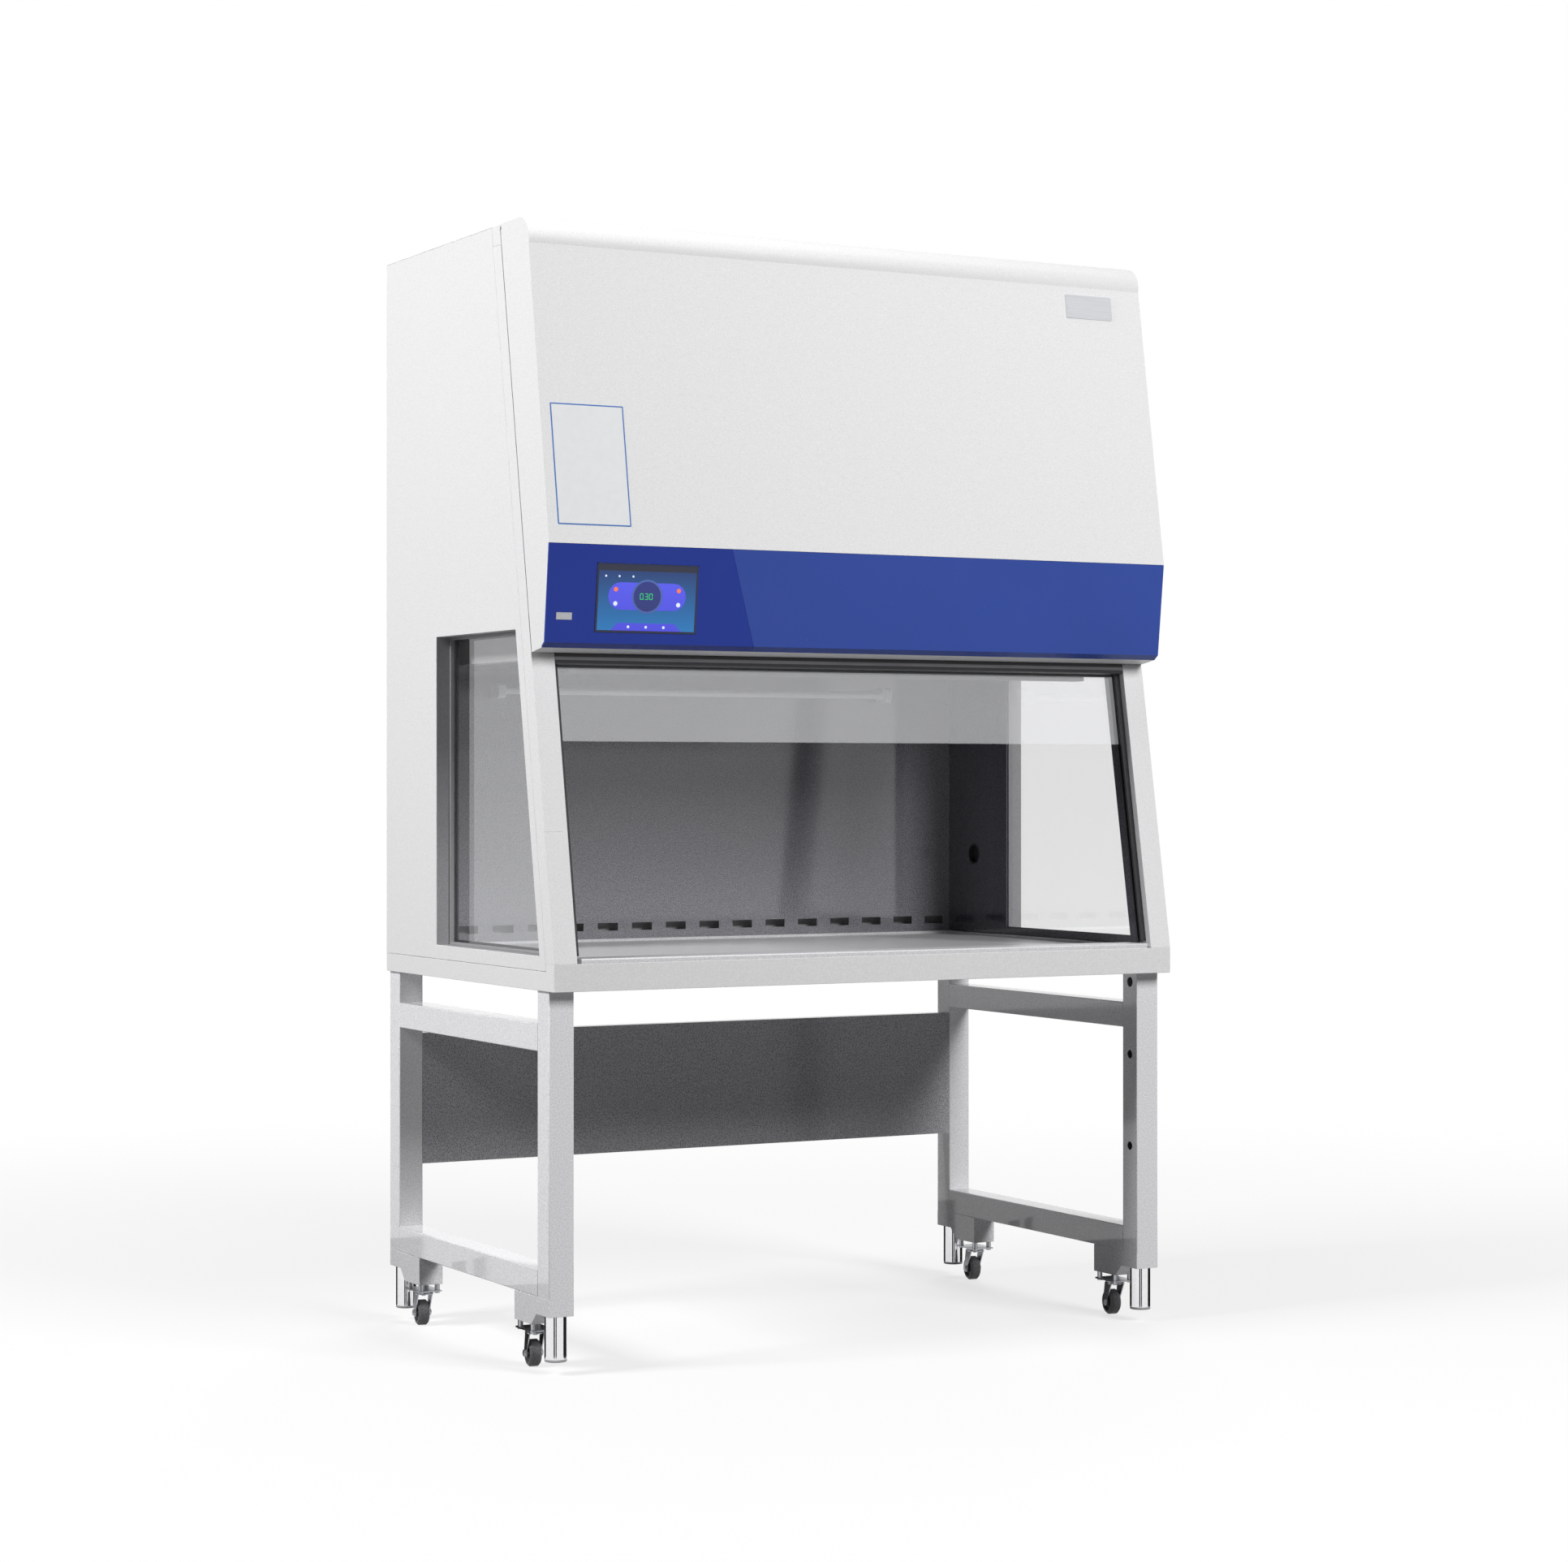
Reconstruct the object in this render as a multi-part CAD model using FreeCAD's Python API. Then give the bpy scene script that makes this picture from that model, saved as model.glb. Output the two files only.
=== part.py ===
import FreeCAD, Part
import math
import os

V = FreeCAD.Vector

# Driving sizes, in millimetres. Heights are above the floor, depths are behind the front of the base.
WIDTH = 1340.0
DEPTH = 806.0
HEIGHT = 2110.0
HALF = WIDTH / 2

# Sheet and play
SKIN = 1.5
PAN_SHEET = 2.0
SEAM = 0.5
FLAT_GAP = 0.3
RUNNING = 0.08

# Base
BASE_BOTTOM = 697.0
BASE_TOP = 747.0
PAN_FLANGE = 38.0
SIDE_SEAM_Z = 733.0
DRAIN_BORE = 11.0
DRAIN_HEAD = 6.0
DRAIN_STEM = 4.0
DRAIN_SLOT = 18.0
DRAIN_SLOT_WIDE = 3.0
DRAIN_SIDE = 148.0
DRAIN_REAR = 212.0

# Leaning front frame
LEAN = 0.179
POST_WIDTH = 46.0
POST_DEPTH = 36.0
POST_WALL = 2.5
COVER_SEAM_Z = 983.5
COVER_SEAM = 1.0
COVER_REACH = 37.0
TOP_BEAM_DEEP = 38.0

# Work zone
SIDE_SPACE = 42.0
INNER_HALF = HALF - SIDE_SPACE
REAR_SPACE = 34.0
BACK_WALL_Y = DEPTH - REAR_SPACE
FLOOR_Z = 752.0
LEDGE_Z = 736.0
LEDGE_WIDE = 22.0
CEILING_SHARE = 0.40572
CEILING_Z = BASE_TOP + CEILING_SHARE * (HEIGHT - BASE_TOP)
ARMREST_INSET = 13.0
ARMREST_HALF = INNER_HALF - ARMREST_INSET
ARMREST_TOP = 756.0
ARMREST_DEEP = 66.0
GRILLE_DEEP = 58.0
GRILLE_SLOTS = 30
SLOT_WIDE = 8.0
TRAY_DISH = 5.0
TRAY_RIM = 16.0
PORT_BORE = 46.0
BUSH_OUT = 12.0
BUSH_WALL = 4.0
BUSH_LIP = 3.0
PORT_INSET = 102.0
PORT_Y = BACK_WALL_Y - PORT_INSET
PORT_Z = 920.0
RETURN_SLOTS = 16
RETURN_SLOT_TALL = 16.0
RETURN_SLOT_WIDE = 46.0
DRAIN_X = INNER_HALF - DRAIN_SIDE
DRAIN_Y = BACK_WALL_Y - DRAIN_REAR

# Side panel and its window
PANEL_SETBACK = 37.0
PANEL_RIM = 16.0
REAR_PILLAR = 258.0
WINDOW_REAR = DEPTH - REAR_PILLAR
WINDOW_OVER = 55.0
WINDOW_TOP = CEILING_Z + WINDOW_OVER
WINDOW_BOTTOM = 760.0
WINDOW_SETBACK = 63.0
WINDOW_LIP = 9.0
GASKET = 2.0
PANE = 5.0
BEAD = 7.0
BEAD_WIDE = 5.0

# Sash
GLASS = 6.0
GLASS_SET = 20.0
GLASS_INSET = 5.0
GLASS_HALF = HALF - POST_WIDTH - GLASS_INSET
SASH_REST_DROP = 150.0
SASH_BOTTOM_Z = CEILING_Z - SASH_REST_DROP
SASH_OVERLAP = 61.0
SASH_TALL = CEILING_Z - ARMREST_TOP + SASH_OVERLAP
SASH_UP = 140.0
GUIDE_WIDE = 11.0
GUIDE_LIP = 5.0
GUIDE_PLAY = 0.5
RAIL_TALL = 30.0
RAIL_WALL = 3.0
HEADER_DROP = 8.0
HEADER_Z = CEILING_Z - HEADER_DROP
HEADER_STRIP = 6.2
HEADER_THICK = 12.0

# Sash drive
PULLEY = 15.0
PULLEY_WIDE = 12.0
PULLEY_INSET = 34.0
PULLEY_X = HALF - POST_WIDTH - PULLEY_INSET
BELT = 1.8
BELT_WIDE = 9.0
SHAFT = 6.0
DRIVE_DROP = 73.5
DRIVE_S = (HEIGHT - BASE_TOP - DRIVE_DROP) / math.cos(math.atan(LEAN))
IDLER_DROP = 5.0
IDLER_S = SASH_TALL - IDLER_DROP
BRACKET = 4.0
MOTOR_X = 240.0

# Hood over the sash drive
HOOD_SHEET = 2.0
HOOD_GAP = 3.0
HOOD_FRONT_Y = 155.0
HOOD_SHOULDER_Y = 112.0
SHOULDER_TALL = 51.0
HOOD_SHOULDER_Z = HEIGHT - SHOULDER_TALL
RIDGE_Y = 22.0
UNDER_GAP = 0.4
HOOD_UNDER_Z = HEADER_Z + 3 * HEADER_STRIP + UNDER_GAP
BAND_TALL = 195.0
RIDGE_Z = HOOD_UNDER_Z + BAND_TALL
FASCIA = 3.0
FASCIA_FOOT_Y = 42.5
FOOT_RISE = 16.0
FASCIA_FOOT_Z = HOOD_UNDER_Z + FOOT_RISE
LIP_Y = 55.0
LIP_RISE = 7.0
LIP_Z = HOOD_UNDER_Z + LIP_RISE
SEAM_TOP_INSET = 372.0
FASCIA_SEAM_TOP = -HALF + SEAM_TOP_INSET
SEAM_FOOT_INSET = 430.0
FASCIA_SEAM_FOOT = -HALF + SEAM_FOOT_INSET
HINGE_BARREL = 4.5
HINGE_PIN = 2.0
HINGE_LEAF = 36.0
HINGE_WIDE = 90.0
HINGE_INSET = 240.0
HINGE_X = HALF - HINGE_INSET

# Screen and port cover
SCREEN_INSET = 201.0
SCREEN_X = -HALF + SCREEN_INSET
SCREEN_WIDE = 206.0
SCREEN_TALL = 126.0
SCREEN_DROP = 96.0
SCREEN_MID_Z = RIDGE_Z - SCREEN_DROP
SCREEN_THICK = 4.0
SCREEN_BODY = 22.0
USB_INSET = 36.0
USB_X = -HALF + USB_INSET
USB_WIDE = 31.0
USB_TALL = 13.0
USB_DROP = 131.0
USB_MID_Z = RIDGE_Z - USB_DROP
USB_MOUTH_WIDE = 12.4
USB_MOUTH_TALL = 5.2
USB_BACK = 4.0
USB_PIN = 0.5
USB_PIN_DROP = 1.0

# Air path
FILTER_TALL = 90.0
FILTER_RIM = 18.0
FILTER_FOLDS = 12
DIFFUSER_ROWS = 6
DIFFUSER_COLUMNS = 14
DIFFUSER_SLOT = 0.7
FILTER_INSET = 28.0
FILTER_HALF = INNER_HALF - FILTER_INSET
FILTER_SEAL = 6.0
TOP_SPACE = 150.0
PLENUM_TOP = HEIGHT - TOP_SPACE
EXHAUST_INSET = 388.0
EXHAUST_HALF = INNER_HALF - EXHAUST_INSET
EXHAUST_GAP = 12.0
EXHAUST_REAR = BACK_WALL_Y - EXHAUST_GAP
EXHAUST_DEEP = 340.0
EXHAUST_FRONT = EXHAUST_REAR - EXHAUST_DEEP
EXHAUST_TALL = 110.0
GUARD_SLOTS = 9
DUCT_BOLT = 3.0
DUCT_BOLT_OUT = 20.0
BLOWER_RISE = 11.25
BLOWER_DEEP = 182.0
BLOWER_FRONT = BACK_WALL_Y - BLOWER_DEEP
WHEEL_OUTER = 140.0
WHEEL_INNER = 112.0
WHEEL_TALL = 120.0
BLADES = 30
BLADE_THICK = 1.5
WHEEL_PLATE = 3.0
SCROLL_START = 158.0
SCROLL_STEP = 14.0
SCROLL_OUT = 40.0
TONGUE_TURN = math.radians(25)
BLADE_SWEEP = math.radians(48)
INLET_BORE = 104.0
SOCKET_PLATE_WIDE = 50.0
SOCKET_PLATE_TALL = 40.0
SOCKET_WIDE = 28.0
SOCKET_TALL = 22.0
SOCKET_DEEP = 26.0
SOCKET_WALL = 2.0
SOCKET_MOUTH = 18.0
SOCKET_BLADE = 12.0
BLADE_SIDE = 7.0
BLADE_DROP = 2.0
BLADE_RISE = 3.0
BLADE_WIDE = 2.0
BLADE_TALL = 6.0
MOTOR_RADIUS = 70.0
MOTOR_TALL = 110.0
MOTOR_SHAFT = 8.0

BOX_WIDE = 280.0
BOX_DEEP = 300.0
LOUVRES = 5
BOX_TALL = 120.0
LAMP_INSET = 40.0
LAMP_HALF = FILTER_HALF - LAMP_INSET
LAMP_TALL = 22.0
TUBE = 8.0
TUBE_CAP = 1.0
UV_INSET = 150.0
UV_HALF = FILTER_HALF - UV_INSET

# Stand
LEG = 50.0
LEG_WALL = 2.0
LEG_INSET = 5.5
LEG_FRONT = 35.5
LEG_REAR = 4.5
LEG_BOTTOM = 140.0
RAIL_TOP_LOW = 586.0
RAIL_LOW = 140.0
RAIL = 50.0
BACK_LOW = 313.0
BACK_HIGH = 574.0
HOLE_BIG = 10.0
HOLE_SMALL = 8.5
HOLE_HEIGHTS = (677.0, 533.0, 351.0)

# Foot brackets, casters and feet
FOOT_SHALLOW_Z = 108.0
FOOT_DEEP_Z = 86.0
FOOT_LONG = 153.0
FOOT_SHALLOW = 55.0
FOOT_SLOPE = 22.0
FOOT_WALL = 2.5
PLATE_X = 50.0
PLATE_Y = 72.0
PLATE_THICK = 2.5
PLATE_TOP = 73.5
CASTER_BOLT = 4.0
CASTER_NUT = 5.0
WHEEL_RADIUS = 25.0
WHEEL_WIDE = 22.0
HUB_WIDE = 25.0
TRAIL = 15.0
CASTER_TURN = 8.5
FORK_SHEET = 2.0
FORK_HALF = 15.0
AXLE = 4.0
HEAD_RADIUS = 20.0
HEAD_TALL = 5.0
PAD_RADIUS = 20.7
PAD_TALL = 4.0
PAD_BOTTOM = 25.0
STEM = 6.0
STEM_TOP = 235.0
NUT_PLATE_Z = 178.0
NUT_PLATE = 10.0

ANGLE = math.atan(LEAN)
FILTER_Z = CEILING_Z + SKIN
PLENUM_BOTTOM = FILTER_Z + FILTER_TALL + FILTER_SEAL
BLOWER_Z = (PLENUM_BOTTOM + PLENUM_TOP) / 2 + BLOWER_RISE
NODES = {}


def add(name, *solids):
    """Keep a node as one solid, or as a group of separate solids."""
    NODES[name] = solids[0] if len(solids) == 1 else Part.Compound(list(solids))


def box(x0, x1, y0, y1, z0, z1):
    return Part.makeBox(x1 - x0, y1 - y0, z1 - z0, V(x0, y0, z0))


def rod(radius, start, end):
    """Round bar between two points."""
    way = end.sub(start)
    return Part.makeCylinder(radius, way.Length, start, way)


def side_face(points, x=0.0):
    """Flat face in the depth and height plane."""
    corners = [V(x, y, z) for y, z in points]
    return Part.Face(Part.makePolygon(corners + corners[:1]))


def side_prism(points, x0, x1):
    """Depth and height outline drawn out across the width."""
    return side_face(points, x0).extrude(V(x1 - x0, 0, 0))


def other_side(shape):
    return shape.mirror(V(0, 0, 0), V(1, 0, 0))


def lean_y(z):
    """Depth of the leaning front plane at a height."""
    return LEAN * (z - BASE_TOP)


def lean_s(z, d=0.0):
    """Distance up the lean for a height, at a depth behind the leaning plane."""
    return (z - BASE_TOP + d * math.sin(ANGLE)) / math.cos(ANGLE)


def leaning(shape):
    """Place a shape that was drawn upright so that it follows the leaning front."""
    placed = shape.copy()
    placed.rotate(V(0, 0, 0), V(1, 0, 0), -math.degrees(ANGLE))
    placed.translate(V(0, 0, BASE_TOP))
    return placed


def lean_box(x0, x1, d0, d1, s0, s1):
    return leaning(box(x0, x1, d0, d1, s0, s1))


def lean_point(x, d, s):
    y = d * math.cos(ANGLE) + s * math.sin(ANGLE)
    z = BASE_TOP + s * math.cos(ANGLE) - d * math.sin(ANGLE)
    return V(x, y, z)


def cut_all(shape, tools):
    return shape.cut(Part.Compound(tools))


# Base and work zone

def base_pan():
    pan = box(-HALF, HALF, 0, DEPTH, BASE_BOTTOM, BASE_TOP)
    room = box(-HALF + PAN_SHEET, HALF - PAN_SHEET, PAN_SHEET, DEPTH - PAN_SHEET,
               BASE_BOTTOM + PAN_SHEET, BASE_TOP - PAN_SHEET)
    mouth = box(-INNER_HALF, INNER_HALF, PAN_FLANGE, DEPTH - PAN_SHEET, BASE_TOP - 2 * PAN_SHEET, BASE_TOP)
    side = box(INNER_HALF, HALF, PANEL_SETBACK - SEAM, DEPTH, SIDE_SEAM_Z - SEAM, BASE_TOP)
    rear = box(-HALF, HALF, DEPTH - PAN_SHEET, DEPTH, SIDE_SEAM_Z - SEAM, BASE_TOP)
    drain = rod(DRAIN_BORE, V(DRAIN_X, DRAIN_Y, BASE_BOTTOM), V(DRAIN_X, DRAIN_Y, BASE_TOP))
    return cut_all(pan, [room, mouth, side, other_side(side), rear, drain])


def drain_plug():
    """Screw plug in the lowest point of the pan, with a flat head inside."""
    floor = BASE_BOTTOM + PAN_SHEET
    head = rod(DRAIN_BORE + DRAIN_HEAD, V(DRAIN_X, DRAIN_Y, floor), V(DRAIN_X, DRAIN_Y, floor + DRAIN_HEAD))
    stem = rod(DRAIN_BORE - RUNNING, V(DRAIN_X, DRAIN_Y, BASE_BOTTOM), V(DRAIN_X, DRAIN_Y,
                                                                         BASE_BOTTOM + DRAIN_STEM))
    slot = box(DRAIN_X - DRAIN_SLOT / 2, DRAIN_X + DRAIN_SLOT / 2, DRAIN_Y - DRAIN_SLOT_WIDE / 2,
               DRAIN_Y + DRAIN_SLOT_WIDE / 2, floor + DRAIN_HEAD / 2, floor + DRAIN_HEAD)
    return head.fuse(stem).cut(slot)


def front_post():
    """Leaning hollow post on the right, cut level at the base and under the top beam."""
    reach = lean_s(HEIGHT) + POST_DEPTH
    tube = lean_box(HALF - POST_WIDTH, HALF, 0, POST_DEPTH, -POST_DEPTH, reach)
    bore = lean_box(HALF - POST_WIDTH + POST_WALL, HALF - POST_WALL, POST_WALL, POST_DEPTH - POST_WALL,
                    -2 * POST_DEPTH, reach + POST_DEPTH)
    zone = box(0, WIDTH, -DEPTH, DEPTH, BASE_TOP, HEIGHT - TOP_BEAM_DEEP)
    return tube.cut(bore).common(zone)


def cover_seam():
    """Hairline where the lower half of the left post's cover meets the upper."""
    s = lean_s(COVER_SEAM_Z)
    return lean_box(-HALF, -HALF + COVER_REACH, -1, COVER_SEAM, s, s + COVER_SEAM)


def top_beam():
    """Folded beam across the top of the frame, whose front follows the lean."""
    low = HEIGHT - TOP_BEAM_DEEP
    high = HEIGHT - PAN_SHEET
    back = PANEL_SETBACK - SEAM
    outline = [(lean_y(low), low), (lean_y(low) + back, low), (lean_y(HEIGHT) + back, HEIGHT),
               (lean_y(HEIGHT), HEIGHT)]
    room = [(lean_y(low) + PAN_SHEET, low), (lean_y(low) + back - PAN_SHEET, low),
            (lean_y(high) + back - PAN_SHEET, high), (lean_y(high) + PAN_SHEET, high)]
    hollow = side_prism(room, -HALF + POST_WIDTH, HALF - POST_WIDTH)
    return side_prism(outline, -HALF, HALF).cut(hollow)


def panel_outline():
    top = HEIGHT - SKIN
    return [(PANEL_SETBACK, SIDE_SEAM_Z), (PANEL_SETBACK, BASE_TOP),
            (lean_y(top) + PANEL_SETBACK, top), (DEPTH, top), (DEPTH, SIDE_SEAM_Z)]


def window_outline():
    return [(WINDOW_SETBACK + lean_y(WINDOW_BOTTOM), WINDOW_BOTTOM), (WINDOW_SETBACK + lean_y(WINDOW_TOP),
                                                                      WINDOW_TOP),
            (WINDOW_REAR, WINDOW_TOP), (WINDOW_REAR, WINDOW_BOTTOM)]


def window_ring(x0, x1, outer, inner):
    """Ring that follows the window, between two distances inside its outline."""
    face = side_face(window_outline(), x0)
    wide = face.makeOffset2D(-outer) if outer else face
    return wide.cut(face.makeOffset2D(-inner)).extrude(V(x1 - x0, 0, 0))


def window_block(x0, x1, inset):
    face = side_face(window_outline(), x0)
    if inset:
        face = face.makeOffset2D(-inset)
    return face.extrude(V(x1 - x0, 0, 0))


def side_panel():
    """Right side panel, a folded pan with a rim, cut out for the window."""
    face = side_face(panel_outline(), HALF - PANEL_RIM)
    rim = face.cut(face.makeOffset2D(-SKIN)).extrude(V(PANEL_RIM, 0, 0))
    skin = side_prism(panel_outline(), HALF - SKIN, HALF)
    return skin.fuse(rim).cut(window_block(HALF - PANEL_RIM, HALF + 1, 0)).removeSplitter()


def window_reveal():
    """Sheet lining of the right window between the outer and the inner wall."""
    face = side_face(window_outline(), INNER_HALF)
    return face.makeOffset2D(SKIN, 2).cut(face).extrude(V(HALF - SKIN - INNER_HALF, 0, 0))


def inner_wall_outline():
    low = BASE_BOTTOM + PAN_SHEET
    set_back = (POST_DEPTH + SEAM) / math.cos(ANGLE)
    return [(PAN_FLANGE + SEAM, low), (PAN_FLANGE + SEAM, BASE_TOP), (lean_y(BASE_TOP) + set_back + SKIN,
                                                                      BASE_TOP),
            (lean_y(PLENUM_BOTTOM) + set_back + SKIN, PLENUM_BOTTOM), (BACK_WALL_Y + SKIN, PLENUM_BOTTOM),
            (BACK_WALL_Y + SKIN, low)]


def inner_wall():
    """Right wall of the work zone with its window opening, port and the ledge for the tray."""
    face = INNER_HALF - SKIN
    sheet = side_prism(inner_wall_outline(), face, INNER_HALF)
    sheet = sheet.cut(window_block(face - 1, INNER_HALF + 1, WINDOW_LIP))
    port = rod(PORT_BORE / 2, V(face - 1, PORT_Y, PORT_Z), V(INNER_HALF + 1, PORT_Y, PORT_Z))
    shelf = box(face - LEDGE_WIDE, face, PAN_FLANGE + 2 * LEDGE_WIDE, BACK_WALL_Y, LEDGE_Z - SKIN, LEDGE_Z)
    rail = box(face - LEDGE_WIDE, face, lean_y(CEILING_Z) + 2 * LEDGE_WIDE + PANEL_SETBACK, BACK_WALL_Y,
               CEILING_Z, CEILING_Z + SKIN)
    return sheet.cut(port).fuse([shelf, rail])


def port_bush():
    """Flanged rubber bush with a blind centre in the service port of the right wall."""
    inner = INNER_HALF - SKIN
    blind = INNER_HALF + BUSH_OUT - BUSH_LIP
    bush = rod(PORT_BORE / 2 - RUNNING, V(inner, PORT_Y, PORT_Z), V(INNER_HALF + BUSH_OUT, PORT_Y, PORT_Z))
    hole = rod(PORT_BORE / 2 - BUSH_WALL, V(inner - 1, PORT_Y, PORT_Z), V(blind, PORT_Y, PORT_Z))
    lip = rod(PORT_BORE / 2 + BUSH_WALL, V(INNER_HALF, PORT_Y, PORT_Z), V(INNER_HALF + BUSH_LIP, PORT_Y,
                                                                          PORT_Z))
    return bush.fuse(lip).cut(hole)


def rear_wall():
    """Back of the work zone, with return slots above the tray and below it."""
    low = BASE_BOTTOM + PAN_SHEET
    inner = INNER_HALF - SKIN
    wall = box(-inner, inner, BACK_WALL_Y, BACK_WALL_Y + SKIN, low, PLENUM_BOTTOM)
    pitch = 2 * inner / RETURN_SLOTS
    slots = []
    for i in range(RETURN_SLOTS):
        x = -inner + pitch * (i + 0.5)
        half = RETURN_SLOT_WIDE / 2
        z = FLOOR_Z + RETURN_SLOT_TALL
        slots.append(box(x - half, x + half, BACK_WALL_Y - 1, BACK_WALL_Y + SKIN + 1, z,
                         z + RETURN_SLOT_TALL))
        slots.append(box(x - half, x + half, BACK_WALL_Y - 1, BACK_WALL_Y + SKIN + 1,
                         low + SKIN, low + SKIN + RETURN_SLOT_TALL))
    return cut_all(wall, slots)


def work_tray():
    """Lift-out tray, dished inside a raised rim, on folded sides that stand on the ledges."""
    front = ARMREST_DEEP + GRILLE_DEEP + 2 * SEAM
    half = INNER_HALF - SKIN - SEAM
    rear = BACK_WALL_Y - SEAM
    tray = box(-half, half, front, rear, LEDGE_Z, FLOOR_Z)
    under = box(-half + SKIN, half - SKIN, front + SKIN, rear - SKIN, LEDGE_Z - 1,
                FLOOR_Z - TRAY_DISH - SKIN)
    dish = box(-half + TRAY_RIM, half - TRAY_RIM, front + TRAY_RIM, rear - TRAY_RIM, FLOOR_Z - TRAY_DISH,
               FLOOR_Z + 1)
    walls = [e for e in dish.Edges if abs(e.Vertexes[0].Z - e.Vertexes[-1].Z) > 1]
    return tray.cut(under).cut(dish.makeFillet(TRAY_RIM / 2, walls))


def front_grille():
    """Slotted intake strip between the armrest and the tray, with folded edges."""
    half = INNER_HALF - SKIN - SEAM
    front = ARMREST_DEEP + SEAM
    rear = ARMREST_DEEP + GRILLE_DEEP
    strip = box(-half, half, front, rear, LEDGE_Z, FLOOR_Z)
    under = box(-half + SKIN, half - SKIN, front + SKIN, rear - SKIN, LEDGE_Z - 1, FLOOR_Z - SKIN)
    pitch = (2 * half - 2 * SLOT_WIDE) / GRILLE_SLOTS
    slots = []
    for i in range(GRILLE_SLOTS):
        x = -half + SLOT_WIDE + pitch * (i + 0.5)
        slots.append(box(x - SLOT_WIDE / 2, x + SLOT_WIDE / 2, front + SLOT_WIDE, rear - SLOT_WIDE,
                         LEDGE_Z, FLOOR_Z + 1))
    return cut_all(strip.cut(under), slots)


def armrest():
    """Stainless sill over the front flange, with its front and rear edges rounded."""
    sill = box(-ARMREST_HALF, ARMREST_HALF, SEAM, ARMREST_DEEP, BASE_TOP, ARMREST_TOP)
    edges = [e for e in sill.Edges
             if abs(e.Vertexes[0].Z - ARMREST_TOP) < 0.01 and abs(e.Vertexes[-1].Z - ARMREST_TOP) < 0.01
             and abs(e.Vertexes[0].Y - e.Vertexes[-1].Y) < 0.01]
    return sill.makeFillet((ARMREST_TOP - BASE_TOP) / 3, edges)


def rear_panel():
    """Flat panel between the rims of the two side panels."""
    edge = HALF - PANEL_RIM - FLAT_GAP
    return box(-edge, edge, DEPTH - SKIN, DEPTH, SIDE_SEAM_Z, HEIGHT - SKIN)


def rear_post():
    """Angle post at the right rear corner between the pan and the top panel."""
    x1 = HALF - PANEL_RIM - FLAT_GAP
    x0 = INNER_HALF + SKIN
    y1 = DEPTH - SKIN
    y0 = BACK_WALL_Y + 4 * SKIN
    low = BASE_BOTTOM + PAN_SHEET
    post = box(x0, x1, y0, y1, low, HEIGHT - SKIN)
    room = box(x0, x1 - PAN_SHEET, y0, y1 - PAN_SHEET, low, HEIGHT)
    recess = box(x0, x1, DEPTH - PAN_SHEET, y1, low, SIDE_SEAM_Z - SEAM)
    return post.cut(room).cut(recess)


def top_panel():
    """Top cover over the side panels, with the opening of the exhaust."""
    front = lean_y(HEIGHT) + PANEL_SETBACK + SEAM
    sheet = box(-HALF, HALF, front, DEPTH, HEIGHT - SKIN, HEIGHT)
    hole = box(-EXHAUST_HALF, EXHAUST_HALF, EXHAUST_FRONT, EXHAUST_REAR, HEIGHT - 2 * SKIN, HEIGHT + 1)
    holes = []
    for x in (-EXHAUST_HALF - DUCT_BOLT_OUT, EXHAUST_HALF + DUCT_BOLT_OUT):
        for y in (EXHAUST_FRONT - DUCT_BOLT_OUT, EXHAUST_REAR + DUCT_BOLT_OUT):
            holes.append(rod(DUCT_BOLT, V(x, y, HEIGHT - 2 * SKIN), V(x, y, HEIGHT + 1)))
    return cut_all(sheet, [hole] + holes)


# Windows of the side walls

def window_seal():
    """Rubber seal of the right pane against the lip of the inner wall."""
    return window_ring(INNER_HALF, INNER_HALF + GASKET, SEAM, WINDOW_LIP)


def window_pane():
    return window_block(INNER_HALF + GASKET, INNER_HALF + GASKET + PANE, SEAM)


def window_bead():
    """Bead that holds the right pane in its reveal."""
    start = INNER_HALF + GASKET + PANE
    return window_ring(start, start + BEAD, FLAT_GAP, BEAD_WIDE)


# Sash and its guides

def sash_guide():
    """Channel on the inner face of the right post that the edge of the glass runs in."""
    x1 = HALF - POST_WIDTH
    x0 = x1 - GUIDE_WIDE
    front = GLASS_SET - GUIDE_PLAY
    rear = GLASS_SET + GLASS + GUIDE_PLAY
    low = lean_s(ARMREST_TOP + SKIN, rear + GUIDE_LIP)
    high = lean_s(SASH_BOTTOM_Z) + SASH_TALL + SASH_UP + RAIL_TALL
    channel = lean_box(x0, x1, front - GUIDE_LIP, rear + GUIDE_LIP, low, high)
    groove = lean_box(x0 - 1, GLASS_HALF + GUIDE_PLAY, front, rear, low - 1, high + 1)
    return channel.cut(groove)


def sash_glass():
    low = lean_s(SASH_BOTTOM_Z, GLASS_SET)
    return lean_box(-GLASS_HALF, GLASS_HALF, GLASS_SET, GLASS_SET + GLASS, low, low + SASH_TALL)


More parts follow.
